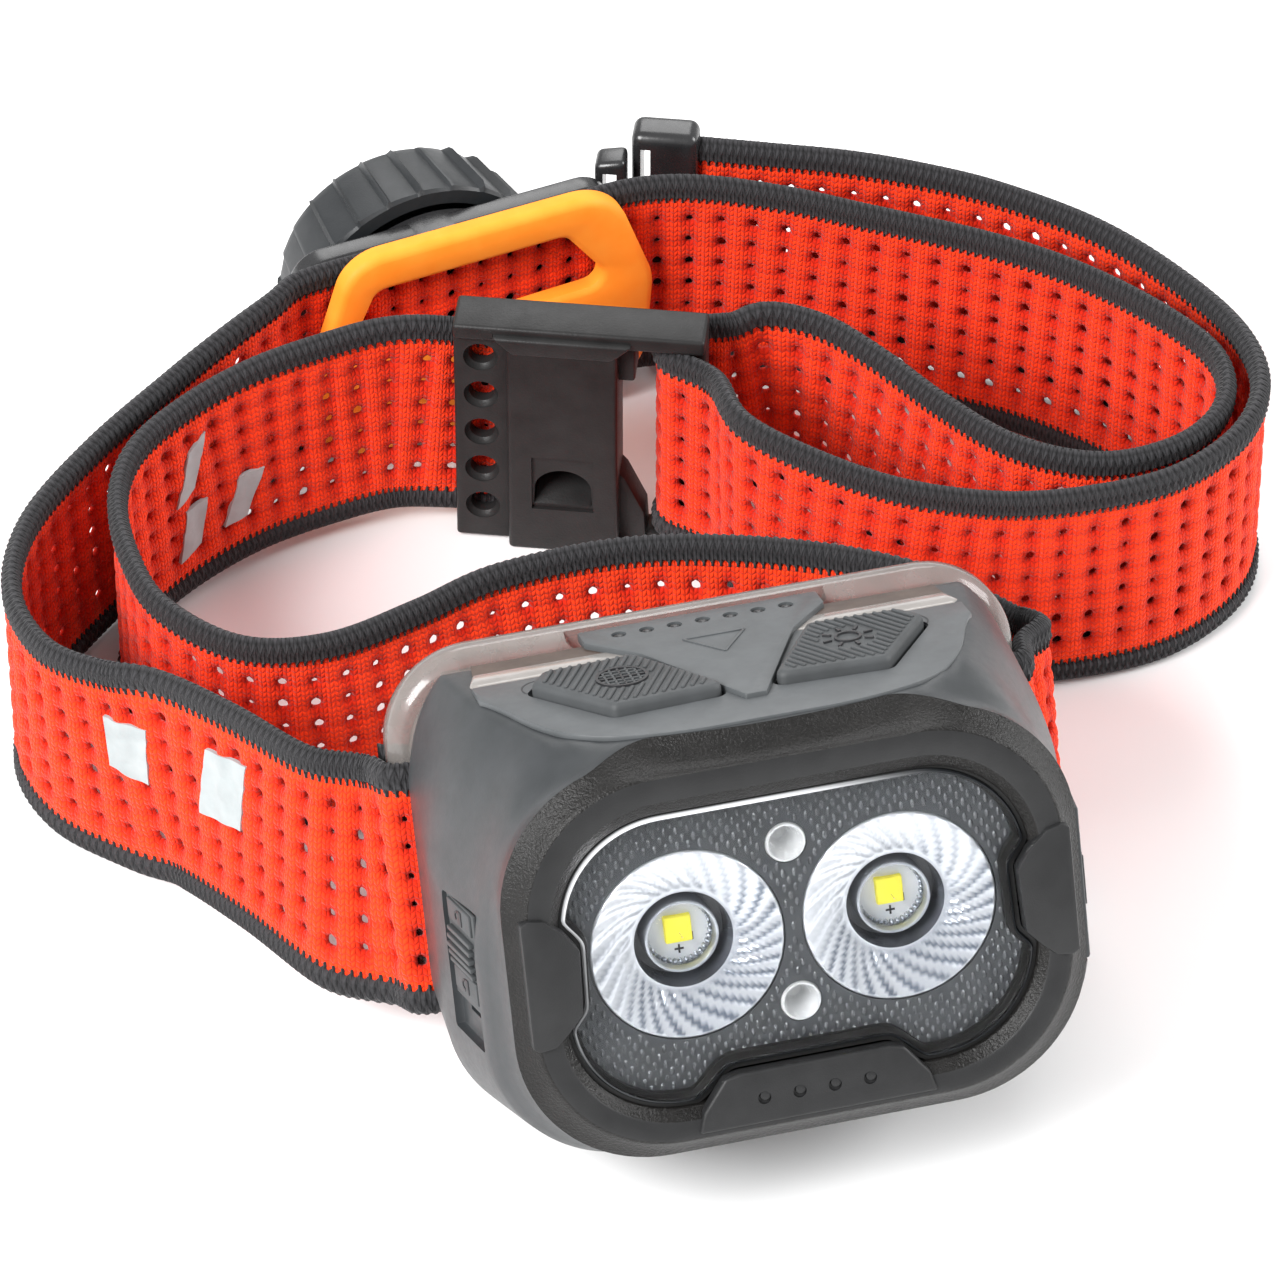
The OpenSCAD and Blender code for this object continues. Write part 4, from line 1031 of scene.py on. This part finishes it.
make_optic(-1, "left")
make_optic(1, "right")
cup = [(1.9, 2.9), (1.88, 2.02), (1.78, 1.86), (1.62, 1.88), (1.45, 2.3), (0.75, 5.2), (0.02, 5.25)]
cups = [Maker(LAMP, RED_CUP).turned(cup, at=(0, 0, z), caps=False) for z in CUP_HEIGHTS]
add(join("red_led_cups", cups), "lamp", "reflector", "red_reflectors")

# ---------------------------------------------------------------- housing


def flank(side):
    """The sub-frame of a flank's slide or cover, with x pointing outward."""
    return (LAMP @ Matrix.Translation((side * 28.875, 11, -2.5))
            @ Matrix.Rotation(math.radians(-7.125 * side), 4, "Z") @ Matrix.Scale(side, 4, (1, 0, 0)))


LEFT_FLANK, RIGHT_FLANK = flank(-1), flank(1)
BUTTON_DOTS = [(3.4, 10.4, 0.8), (8.6, 20.2, 0.8), (16.4, 19.8, 0.8), (17.6, 18, 0.8), (12.4, 9.8, 0.8)]
DEPTHS = np.concatenate([[0.9, 2, 3, 4, 5, 6], np.arange(8, 28.6, 2), [28.5]])


def button_poly(side, grow=0.0):
    """A button's outline from above, grown."""
    return hull_outline([(side * x, y, r) for x, y, r in BUTTON_DOTS], grow)


def section(y):
    """The lamp's outer outline at a depth: round below, a soft crease at each flank, a flat top."""
    half = np.interp(y, [0.9, 3, 6, 18, 28.5], [26.8, 27.4, 28.25, 29.75, 29.0])
    low = np.interp(y, [0.9, 3, 6, 18, 28.5], [-19.6, -20, -20.8, -22.2, -21.5])
    top_half = max(np.interp(y, *np.transpose(EDGE_Y)) + 0.2, 6)
    crease = np.interp(y, [2, 9, 28.5], [-2.5, 1.0, 10.5])
    r = 12.5
    below = arc(half - r, low + r, r, -math.pi / 2, 0, 24)
    start, end = np.array([half, crease]), np.array([top_half, TOP])
    full = 0.88 - 0.42 * smooth(y, 2.5, 10)
    bend = (start + end) / 2 * (1 - full) + np.array([half, TOP]) * full
    t = np.linspace(0.04, 1, 24)[:, None]
    above = (1 - t) ** 2 * start + 2 * t * (1 - t) * bend + t * t * end
    right = np.vstack([[(0, low)], below, [start], above])
    # near the face the outline gives way to the brow
    share = float(smooth(y, 0.9, 6.5))
    return LIFTED_BROW * (1 - share) + rayed(np.vstack([right, (right[::-1] * (-1, 1))[1:-1]])) * share


SECTIONS = np.array([section(y) for y in DEPTHS])


def shell_ring(y, inset=0.0):
    """The outer outline at a depth that may differ from point to point."""
    y = np.broadcast_to(y, N)
    k = np.clip(np.searchsorted(DEPTHS, y) - 1, 0, len(DEPTHS) - 2)
    u = ((y - DEPTHS[k]) / (DEPTHS[k + 1] - DEPTHS[k]))[:, None]
    here = SECTIONS[k, np.arange(N)] * (1 - u) + SECTIONS[k + 1, np.arange(N)] * u
    if inset:
        here = grown(here, -inset)
    return at_y(here, y)


def housing_shell():
    """The hollow shell, with the buttons' holes, the flanks' pockets and two arrow ticks by the slide."""
    satin, left, right = Maker(LAMP, SATIN), Maker(LEFT_FLANK, SATIN), Maker(RIGHT_FLANK, SATIN)
    rings = [BROW_RING + (0, 0.02, 0)]
    rings += [shell_ring(BROW_Y + (6.0 - BROW_Y) * u) for u in (0.1, 0.3, 0.55, 0.8, 1.0)]
    rings += [shell_ring(y) for y in (7.5, 9, 11, 13, 15.5, 18, 21, 24, 26.5, 27.6)]
    rings += [shell_ring(28.1, 0.12), shell_ring(28.4, 0.4), shell_ring(28.5, 0.9)]
    opening = soft_box(23.2, -15.2, 14.2, 6)
    rings += [at_y(opening, 28.5), at_y(opening, 26.7)]
    rings += [shell_ring(y, 1.8) for y in (26.6, 20, 12, 6, 4.4)]
    rings.append(shell_ring(np.maximum(BROW_Y + 0.9, 3.2), 1.7))
    cutters = [satin.prism(button_poly(s, 0.3), 14, 26, 0, at_z) for s in (-1, 1)]
    cutters += [left.block((-0.9, -3.9, -6.7), (3, 3.9, 6.7), 0.35),
                left.block((-4, -1.5, -4.5), (2, 1.5, 4.5), 0),
                right.block((-1.1, -6.5, -8), (3, 7.9, 8), 0.35),
                right.block((-6, -4.3, -4.8), (2, -0.5, 4.8), 0)]
    cutters += [left.prism(ribbon((y, z0), (y + 0.8, z1), 0.35), -0.15, 1, 0, at_x)
                for z0, z1, y in ((6.0, 8.6, -6.2), (-6.2, -8.4, -6.0))]
    return carve(satin.loft(rings, closed=True, sharp=42), cutters, sharp=38)


def hinge_ear(side):
    """An ear below the back of the housing, bored for a tilt pin."""
    satin = Maker(LAMP, SATIN)
    x0, x1 = sorted((side * 13, side * 16.6))
    ear = [*arc(*HINGE, 2.7, -2.2, 2.2, 30), (26.7, -17.6), (26.7, -21.4)]
    return carve(satin.prism(ear, x0, x1, 0.2, at_x),
                 [satin.prism(circle(*HINGE, 1.05, 32), x0 - 1, x1 + 1, 0, at_x)])


shell = join("housing_moulding", [housing_shell(), hinge_ear(-1), hinge_ear(1)])
add(shell, "lamp", "body_plastic", "housing_shell")

# ---------------------------------------------------------------- top panel, tongue and buttons


def panel_plate():
    """The flat top, with holes for the buttons."""
    panel = Maker(LAMP, PANEL)
    xs = np.linspace(-23.2, 23.2, 120)
    depths, widths = np.transpose(EDGE_Y)
    front = np.interp(np.abs(xs), widths, depths)
    front = np.convolve(np.concatenate([np.full(5, front[0]), front, np.full(5, front[-1])]),
                        np.ones(11) / 11, "valid")
    outline = [*zip(xs, np.maximum(front, 2.6)), (23.2, 22.2), (-23.2, 22.2)]
    return carve(panel.prism(outline, 19.3, 20.08, 0.14, at_z),
                 [panel.prism(button_poly(s, 0.42), 18, 22, 0, at_z) for s in (-1, 1)])


def panel_tongue():
    """The tongue with its row of seven beads in pits."""
    panel = Maker(LAMP, PANEL)
    places = [2.65 * i for i in range(-3, 4)]
    tongue = panel.prism([(-1.0, 7.6), (1.0, 7.6), (7.2, 22), (11.4, 27.2), (11.4, 30.2), (-11.4, 30.2),
                          (-11.4, 27.2),
                          (-7.2, 22)], 19.6, 20.55, 0.16, at_z)
    carve(tongue, [panel.prism(circle(x, 27.9, 0.72), 20.05, 22, 0, at_z) for x in places])
    beads = [Maker(LAMP, BLACK).loft([at_z(circle(x, 27.9, r, 24), z) for r, z in (
        (0.6, 20.0), (0.58, 20.2), (0.45, 20.4), (0.22, 20.5), (0.02, 20.52))]) for x in places]
    return tongue, beads


def panel_marks():
    """A raised triangle on the tongue and a dark arc beside each button."""
    corners = [(-2.9, 23.6), (2.9, 23.6), (0, 19.0)]
    marks = [Maker(LAMP, PANEL).prism(ribbon(a, b, 0.24), 20.5, 20.68, 0.05, at_z)
             for a, b in zip(corners, corners[1:] + corners[:1])]
    for s in (-1, 1):
        bow = arc(17.2, 19.2, 1.9, -0.5, 1.5, 12) * (s, 1)
        marks += [Maker(LAMP, MARK).prism(ribbon(a, b, 0.16), 20.0, 20.1, 0, at_z)
                  for a, b in zip(bow, bow[1:])]
    return marks


tongue_piece, bead_pieces = panel_tongue()
ledge = Maker(LAMP, LEDGE).prism([(-22.6, 22.4), (22.6, 22.4), (23.2, 23.2), (22.4, 25.6), (-22.4, 25.6),
                                  (-23.2, 23.2)],
                                 19.4, 20.02, 0.3, at_z, 3)
# A dark brown sheet painted in as the shadow in the step between the ledge and the bracket
shadow_strip = Maker(LAMP, PAINTED_SHADOW).prism([(-22.4, 25.4), (22.4, 25.4), (22.0, 28.0), (-22.0, 28.0)], 19.4, 19.95,
                                  0.02, at_z)
panel_pieces = [panel_plate(), tongue_piece, ledge, shadow_strip, *bead_pieces, *panel_marks()]
add(join("top_panel_moulding", panel_pieces), "lamp", "panel_plastic", "top_panel")


def button_ribs(side, middle):
    """Ribs across a button's top that leave a round place for its icon."""
    field = hull_outline([(side * x, y, 0.3) for x, y, _ in BUTTON_DOTS], -0.15)
    way = np.array([side * -0.45, 0.9]) / math.hypot(0.45, 0.9)
    across = np.array([way[1], -way[0]])
    clear, ribs = 2.75, []
    for k in range(-12, 13):
        at = middle + across * k * 0.78
        line = clipped(field, at - way * 12, at + way * 12)
        if line is None:
            continue
        runs = [line]
        off = abs((at - middle) @ across)
        if off < clear:
            half = math.sqrt(clear ** 2 - off ** 2)
            runs = [(line[0], at - way * half), (at + way * half, line[1])]
        ribs += [Maker(LAMP, RUBBER).prism(ribbon(p, q, 0.36), 21.15, 21.42, 0.08, at_z, 1)
                 for p, q in runs if (q - p) @ way > 0.4]
    return ribs


def grid_icon(middle):
    """A ring with a grid inside, for the flood beam."""
    icon = [Maker(LAMP, MARK).raised_ring(*middle, 2.3, 0.28, 21.15, 21.42)]
    for k in (-1.5, -0.75, 0, 0.75, 1.5):
        half = math.sqrt(2.3 ** 2 - k * k) - 0.1
        for d in (np.array([1.0, 0.0]), np.array([0.0, 1.0])):
            off = np.array([-d[1], d[0]]) * k
            line = ribbon(middle + off - d * half, middle + off + d * half, 0.2)
            icon.append(Maker(LAMP, RUBBER if k else MARK).prism(line, 21.15, 21.38, 0, at_z))
    return icon


def sun_icon(middle):
    """A small ring with eight rays, for the spot beam."""
    rays = [np.array([math.cos(k * math.pi / 4 + 0.2), math.sin(k * math.pi / 4 + 0.2)]) for k in range(8)]
    mark = Maker(LAMP, MARK)
    return [mark.raised_ring(*middle, 1.15, 0.26, 21.15, 21.42)] + [
        mark.prism(ribbon(middle + d * 1.65, middle + d * 2.45, 0.26), 21.15, 21.42, 0, at_z) for d in rays]


def make_button(side, name, icon):
    """A rubber key with its flange, ribs and icon."""
    rubber = Maker(LAMP, RUBBER)
    middle = np.array([side * 10.6, 15.2])
    rings = [at_z(rayed(button_poly(side, grow), 160, (side * 10.8, 15)), z)
             for grow, z in ((0.0, 17.5), (0.0, 20.55), (-0.06, 20.85), (-0.22, 21.1), (-0.5, 21.22))]
    pieces = [rubber.loft(rings, sharp=40), rubber.prism(button_poly(side, 0.9), 17.1, 17.9, 0, at_z)]
    add(join(name + "_moulding", pieces + button_ribs(side, middle) + icon(middle)), name, "button_rubber",
        name)


make_button(-1, "flood_button", grid_icon)
make_button(1, "spot_button", sun_icon)

# ---------------------------------------------------------------- slide lock, port cover and back

LOCKED_SHIFT = 3.2  # the slide stands this far up its slot at rest, in mm


def make_slide():
    """The slide lock: plate, stem, two tiles with an open and a closed lock, and five ridges."""
    rubber, mark = Maker(LEFT_FLANK, RUBBER), Maker(LEFT_FLANK, MARK)
    up = LOCKED_SHIFT
    pieces = [rubber.block((-0.7, -3.6, -6.5 + up), (-0.35, 3.6, 3.3 + up), 0.1),
              rubber.block((-2.4, -1.2, -4.3 + up), (-0.5, 1.2, -0.9 + up), 0.1)]
    for z0, z1, share in ((1.05 + up, 3.15 + up, 0.75), (-5.7 + up, -3.5 + up, 1)):
        pieces.append(rubber.prism(box(-3.0, 3.0, z0, z1), -0.45, -0.12, 0.14, at_x))
        zc = (z0 + z1) / 2
        pieces.append(mark.prism(box(-0.9, -0.1, zc - 0.7, zc + 0.7), -0.2, -0.03, 0.03, at_x))
        bow = arc(0, zc, (0.75, 0.5), math.pi / 2, math.pi * (0.5 - share), 10)
        pieces += [mark.prism(ribbon(a, b, 0.2), -0.2, -0.03, 0, at_x) for a, b in zip(bow, bow[1:])]
    for i in range(-2, 3):
        z = -1.35 + up + i * 0.78
        pieces.append(rubber.prism(box(-3.0, 3.0, z - 0.22, z + 0.22), -0.45, 0.32 - 0.09 * abs(i), 0.1,
                                   at_x))
    add(join("lock_slider_moulding", pieces), "lock_slider", "button_rubber", "lock_slider")


def make_port_cover():
    """The port's cover: plate, plug, three grip ribs and a hinge pin at its rear edge."""
    rubber = Maker(RIGHT_FLANK, RUBBER)
    plate = [(-6, -7.5), (6, -7.5), (6, -4.6), (5.4, -4.4), (5.4, 4.4), (6, 4.6), (6, 7.5), (-6, 7.5)]
    pieces = [rubber.prism(plate, -0.8, -0.05, 0.3, at_x), rubber.block((-1.6, -3.5, -4), (-0.7, -1.3, 4))]
    pieces += [rubber.block((-0.1, -5.3 + 0.8 * i, -2.4), (0.15, -5.0 + 0.8 * i, 2.4), 0.08)
               for i in range(3)]
    pieces.append(rubber.loft([at_z(circle(-0.35, 6.5, 0.6, 24), z) for z in (-4.3, 4.3)]))
    add(join("port_cover_moulding", pieces), "port_cover", "cover_rubber", "port_cover")


def make_rear_cover():
    """The rear cover with two screw wells and five ribs."""
    fine = Maker(LAMP, FINE)
    face, edge, rim = (22.9, -14.9, 13.9, 5.9), (22.75, -14.75, 13.75, 5.8), (22.5, -14.5, 13.5, 5.6)
    cover = fine.loft([at_y(soft_box(*sizes), y) for sizes, y in ((face, 25.9), (face, 28.15), (edge, 28.35),
                                                                  (rim, 28.4))])
    well = [(0.02, 27.3), (1.75, 27.3), (2.0, 29), (0.02, 29)]
    carve(cover, [fine.turned(well, at=(s * 20.5, 0, -0.5)) for s in (-1, 1)])
    ribs = [fine.block((-14, 28.3, z), (14, 28.9, z + 1.0), 0.3) for z in (-8.4, -4.4, -0.4, 3.6, 7.6)]
    add(join("rear_cover_moulding", [cover] + ribs), "lamp", "body_plastic", "rear_cover")


make_slide()
make_port_cover()
make_rear_cover()

# ---------------------------------------------------------------- the bracket


def make_bracket():
    """The smoky frame behind the lamp, with corner ribs, hinge lugs and a ledge below the tongue."""
    smoke = Maker(LAMP, SMOKE)
    plate = smoke.loft(steps(soft_box(30, -16.4, 20.5, 8.6), (
        (-1.3, 30.3), (-1.0, 30.4), (-0.1, 31.5), (0, 31.7), (0.02, 33.2), (-0.1, 33.5), (-0.5, 33.8),
        (-0.9, 33.85))),
        sharp=40)
    cuts = [smoke.prism(rounded(21.5, -11.4, 15.3, 5), 28, 36, 0)]
    cuts += [smoke.prism(box(*sorted((s * 25.2, s * 27.2)), -14.2, 11.4), 28, 36, 0) for s in (-1, 1)]
    cuts.append(smoke.prism([(-12.4, 23), (-12.4, 19.6), (-10.6, 17.6), (10.6, 17.6), (12.4, 19.6),
                             (12.4, 23)],
                            29, 31.5, 0))
    pieces = [carve(plate, cuts, sharp=40)]
    rib = np.vstack([rounded(28.3, -13, 18.9, 8.0)[:20], rounded(27.9, -13, 18.5, 7.6)[:20][::-1]])
    lug = [*arc(*HINGE, 3, -math.pi - 0.4, 0.35, 30), (33.5, -14.5), (30.6, -14.5)]
    for s in (-1, 1):
        pieces.append(smoke.prism(rib * (s, 1), 28.95, 30.8, 0.12))
        pieces.append(smoke.prism(lug, *sorted((s * 16.9, s * 20.9)), 0.25, at_x))
    pieces.append(carve(smoke.prism(box(-24.5, 24.5, 28.75, 30.9), 17.9, 18.9, 0.3, at_z, 3),
                        [smoke.block((-12.6, 27, 17), (12.6, 32, 20), 0)]))
    add(join("bracket_moulding", pieces), "headband", "smoky_plastic", "bracket_frame")


make_bracket()

# ---------------------------------------------------------------- buckle, slide adjuster and keeper


def make_buckle():
    """The buckle: a column with a row of holes, a whistle in its middle, and a frame on the right."""
    make = Maker(BUCKLE, BUCKLE_BLACK)
    column = make.block((0, -1.2, 0.3), (6, 3.2, 27.0), 0.35, 3)
    whistle = make.block((5.4, -2.4, 0), (16.4, 3.2, 26.8), 0.45, 3)
    hole = [(0.02, -4), (2.1, -4), (1.7, -1.0), (1.3, -0.55), (1.3, 6), (0.02, 6)]
    carve(column, [make.turned(hole, at=(2.7, 0, 4.5 + i * 4.9), n=36) for i in range(5)]
          + [make.block((-1, 0.6, 1.3), (6.5, 2.6, 26.7), 0)])
    mouth = [(8.0, 6.2), (13.8, 6.2), *arc(10.9, 8.0, (2.9, 2.6), 0.2, math.pi - 0.2, 24)]
    carve(whistle, [make.block((4.5, 0.6, 1.3), (5.6, 2.6, 26.7), 0),
                    make.prism(box(7.8, 14.0, 5.6, 12.4), -4, -2.05, 0),
                    make.prism(mouth, -4, 2.0, 0), make.block((9, -1, 8), (13, 2.2, 22), 0)])
    ramp = make.prism([(-2.2, 6.2), (1.9, 6.2), (1.9, 7.8)], 8.1, 13.7, 0.05, at_x)
    top_bar = make.block((0, -1.7, 26.6), (25, 3.2, 28.4), 0.4, 3)
    dip = make.prism([(3.9, 27.6), (5.9, 25.6), (15.9, 25.6), (17.9, 27.6)], -2.45, 1, 0.35, segments=3)
    ejector = make.turned([(0.02, -1.7), (0.02, -1.76), (0.62, -1.76), (0.68, -1.6)], at=(3.4, 0, 27.5),
                          n=24)
    strut = make.block((16, -0.6, 21.8), (18, 3, 27.0), 0.3)
    rail = make.block((16, 0, 0.2), (25, 3, 1.3), 0.3)
    post = make.block((22.4, 0, 0.2), (25, 3, 27.0), 0.5, 3)
    arm = make.prism([(16.0, 9.8), (17.0, 8.6), (18.9, 4.2), (19.1, 0.4), (16.0, 0.4)], -0.4, 2.8, 0.3)
    add(join("buckle_moulding", [column, whistle, ramp, top_bar, dip, ejector, strut, rail, post, arm]),
        "headband",
        "buckle_plastic", "buckle")


def make_adjuster():
    """The slide adjuster and the keeper beside it, each with room for the band."""
    make = Maker(ADJUSTER, GLOSS_BLACK)
    adjuster = make.block((-3.4, -1.4, 0.2), (3.4, 2.6, 27.8), 1.1, 5, name="adjuster")
    carve(adjuster, [make.block((-0.2, -0.3, 1.2), (5, 1.7, 26.8), 0),
                     make.block((-2.4, -2, 1.9), (-1.4, 3, 26.1), 0)])
    add(adjuster, "headband", "buckle_plastic", "slide_adjuster")
    keeper = make.prism([(-6.9, 0.9), (-3.7, 0.6), (-3.7, 26.0), (-6.9, 25.4)], -3.6, -0.4, 0.7, segments=4,
                        name="band_keeper_moulding")
    carve(keeper, [make.block((-6.0, -4.6, 2.6), (-4.6, 1.4, 24.4), 0)])
    add(keeper, "headband", "buckle_plastic", "band_keeper")


make_buckle()
make_adjuster()

# ---------------------------------------------------------------- dial

DIAL_U, DIAL_Z = -2.5, 14.6
PLATE_SCREWS = [(-13.2, 22.4), (14, 22), (-13.2, 6.6), (13.4, 7)]


def make_knob():
    """The knob: flat facets that step from a thin raised ridge down to the next one."""
    flutes = 24
    a = np.linspace(0, 2 * math.pi, flutes * 16, endpoint=False)
    wave = (a * flutes / (2 * math.pi)) % 1.0
    dent = np.clip(wave / 0.12, 0, 1) * (1 - 0.55 * np.clip((wave - 0.12) / 0.88, 0, 1))
    # depth, radius and how much of the facets shows there
    profile = [(4.6, 11.6, 0), (4.6, 13.2, 0.1), (4.9, 13.8, 0.6), (5.6, 14.0, 1), (12.4, 13.0, 1),
               (13.1, 12.7, 0.8),
               (13.5, 12.2, 0.3), (13.6, 11.6, 0), (13.6, 10.2, 0), (13.2, 9.7, 0), (13.2, 5.4, 0),
               (13.6, 4.9, 0),
               (13.6, 1.7, 0), (11.6, 1.7, 0), (11.6, 10.4, 0)]
    rings = []
    for v, r, share in profile:
        reach = r - share * 0.8 * dent
        rings.append(at_y(np.stack([DIAL_U + reach * np.cos(a), DIAL_Z + reach * np.sin(a)], 1), v))
    knob = Maker(DIAL, KNOB).loft(rings, closed=True, sharp=24, name="dial_knob_moulding")
    add(knob, "dial", "knob_plastic", "dial_knob")


def make_dial_base():
    """The base plate and the boss that the knob turns on."""
    make = Maker(DIAL, GLOSS_BLACK)
    corners = [(-14.5, 5.5, 3.4), (-14.2, 22.4, 3.4), (13.5, 22.4, 3.4), (13.5, 5.5, 3.4)]
    base = make.prism(hull_outline(corners), 1.1, 3.5, 0.4, segments=3)
    boss = make.turned([(11.4, 1.2), (11.4, 3.9), (11.0, 4.3), (8.25, 4.3), (8.25, 2.15), (1.5, 2.15),
                        (1.5, 1.2)],
                       at=(DIAL_U, 0, DIAL_Z), n=96, closed=True)
    bores = [make.prism(circle(x, z, 1.02), 0, 6, 0) for x, z in PLATE_SCREWS]
    bores.append(make.prism(circle(DIAL_U, DIAL_Z, 8.2, 96), 2.1, 6, 0))
    bores.append(make.prism(circle(DIAL_U, DIAL_Z, 1.5), 0, 3, 0))
    carve(base, bores)
    for piece in (boss, base):
        carve(piece, [make.block((DIAL_U - 9.3, 2.1, DIAL_Z - 2), (DIAL_U - 7.3, 5.5, DIAL_Z + 2), 0)])
    add(join("dial_base_moulding", [base, boss]), "headband", "buckle_plastic", "dial_base")


def make_head_plate():
    """The orange plate against the head, with a window and four pilot holes."""
    make = Maker(DIAL, ORANGE)
    outer, inner = [rayed(hull_outline(dots), 360, (0, 20)) for dots in (
        [(-12.5, 6.5, 4.5), (-13.6, 12.5, 4.4), (-9.8, 23.4, 4.8), (11, 22.2, 6), (13.5, 15, 6),
         (13, 8.2, 6)],
        [(-11.5, 17.5, 1.8), (-9.6, 22.2, 1.6), (9, 22.2, 1.8), (12.2, 18, 1.6)])]
    rings = steps(outer, ((0, -1.3), (0, -2.5), (-0.15, -2.9), (-0.5, -3.2), (-0.9, -3.3)))
    rings += steps(inner, ((0.7, -3.3), (0.3, -3.15), (0, -2.8), (0, -1.3)))
    plate = make.loft(rings, closed=True, name="head_plate_moulding")
    pilot = [(0.02, -2.7), (1.0, -2.7), (1.0, 0), (0.02, 0)]
    carve(plate, [make.turned(pilot, at=(x, 0, z), n=24) for x, z in PLATE_SCREWS])
    add(plate, "headband", "orange_plastic", "head_plate")


make_knob()
make_dial_base()
make_head_plate()

# ---------------------------------------------------------------- marks on the bands


def on_band(band, corners):
    """A thin printed patch on the outer side of the knit, from four corners (along, up) in turn."""
    c = np.array(corners, float)
    ns, nt = [max(4, int(np.ptp(c[:, k]) / 0.25)) for k in (0, 1)]
    a, b = np.repeat(np.linspace(0, 1, ns), nt)[:, None], np.tile(np.linspace(0, 1, nt), ns)[:, None]
    s, t = ((c[0] * (1 - a) + c[1] * a) * (1 - b) + (c[3] * (1 - a) + c[2] * a) * b).T
    x = (s / (band.length / round(band.length / HOLE_PITCH))) % 1
    y = ((t + ROWS * ROW_PITCH / 2) / ROW_PITCH) % 1
    swell = 0.42 + 0.42 * (0.5 + 0.5 * knit_relief(x, y))
    points = np.vstack([band.at(s, t, -(swell + 0.1)), band.at(s, t, -(swell - 0.3))])
    faces = []
    m = ns * nt
    for i in range(ns - 1):
        for j in range(nt - 1):
            k = i * nt + j
            faces += [(k, k + nt, k + nt + 1, k + 1), (m + k, m + k + 1, m + k + nt + 1, m + k + nt)]
    rim = [i * nt for i in range(ns)] + [(ns - 1) * nt + j for j in range(1, nt)]
    rim += [i * nt + nt - 1 for i in range(ns - 2, -1, -1)] + [j for j in range(nt - 2, 0, -1)]
    faces += [(p, m + p, m + q, q) for p, q in zip(rim, rim[1:] + rim[:1])]
    return finish_edges(mesh_object("patch", points, faces, WORLD, [SILVER_PRINT]), 50)


PATCHES = ([(50.3, 0.5), (45.9, -0.7), (44.6, 5.8), (50.1, 6.4)],
           [(38.9, -1.4), (32.9, -0.8), (31.7, 7.0), (37.4, 6.4)])
BARS = ([(36.2, -0.2), (33.6, 1.0), (31.4, 7.4), (33.8, 5.8)],
        [(36.4, -7.6), (33.6, -6.6), (32.2, -1.2), (35.0, -1.4)],
        [(30.6, -6.6), (27.8, -6.4), (25.2, -1.2), (28.2, -1.0)])
add(join("reflective_patches", [on_band(long_band, c) for c in PATCHES]), "headband", "band_fabric")
add(join("printed_bars", [on_band(side_band, c) for c in BARS]), "headband", "band_fabric")

# ---------------------------------------------------------------- finishes of the inner parts

ALUMINIUM = moulded("aluminium_brushed", (0.55, 0.56, 0.57), (0.68, 0.69, 0.70), 0.35, 0.01, 4, Metallic=1.0)
SPRING = moulded("spring_steel_blue", (0.38, 0.42, 0.48), (0.50, 0.54, 0.60), 0.25, 0.004, 5, Metallic=1.0)
BOARD_WHITE = moulded("board_white", (0.74, 0.74, 0.70), (0.84, 0.84, 0.80), 0.45, 0.006, 4)
BOARD_GREEN = moulded("board_green", (0.015, 0.11, 0.05), (0.03, 0.17, 0.08), 0.35, 0.01, 3)
BRASS = moulded("contact_brass", (0.72, 0.50, 0.18), (0.82, 0.60, 0.26), 0.3, 0.004, 5, Metallic=1.0)
WRAP = moulded("battery_wrap_blue", (0.02, 0.07, 0.24), (0.03, 0.10, 0.32), 0.3, 0.004, 2)
LED_RED = moulded("led_red_die", (0.55, 0.08, 0.05), (0.70, 0.14, 0.09), 0.35, 0.006, 8)
SPOOL = moulded("spool_white", (0.55, 0.56, 0.57), (0.66, 0.67, 0.68), 0.4, 0.01, 4)
FINISHES = {ALUMINIUM: ["heat_sink"], STEEL: ["heat_sink_screws", "tilt_pins", "usb_port", "lock_switch"],
            DARK_STEEL: ["cover_screws", "dial_screw", "plate_screws"],
            SPRING: ["detent_spring", "pawl_spring"], BOARD_WHITE: ["led_board"],
            BOARD_GREEN: ["driver_board"],
            BRASS: ["battery_contacts", "button_switches"], WRAP: ["battery_pack"], LED_RED: ["red_leds"],
            SPOOL: ["dial_spool"], SEAL: ["cover_gasket"]}
for paint, nodes in FINISHES.items():
    for node in nodes:
        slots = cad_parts[node].data.materials
        for k in range(len(slots)):
            slots[k] = paint.mat
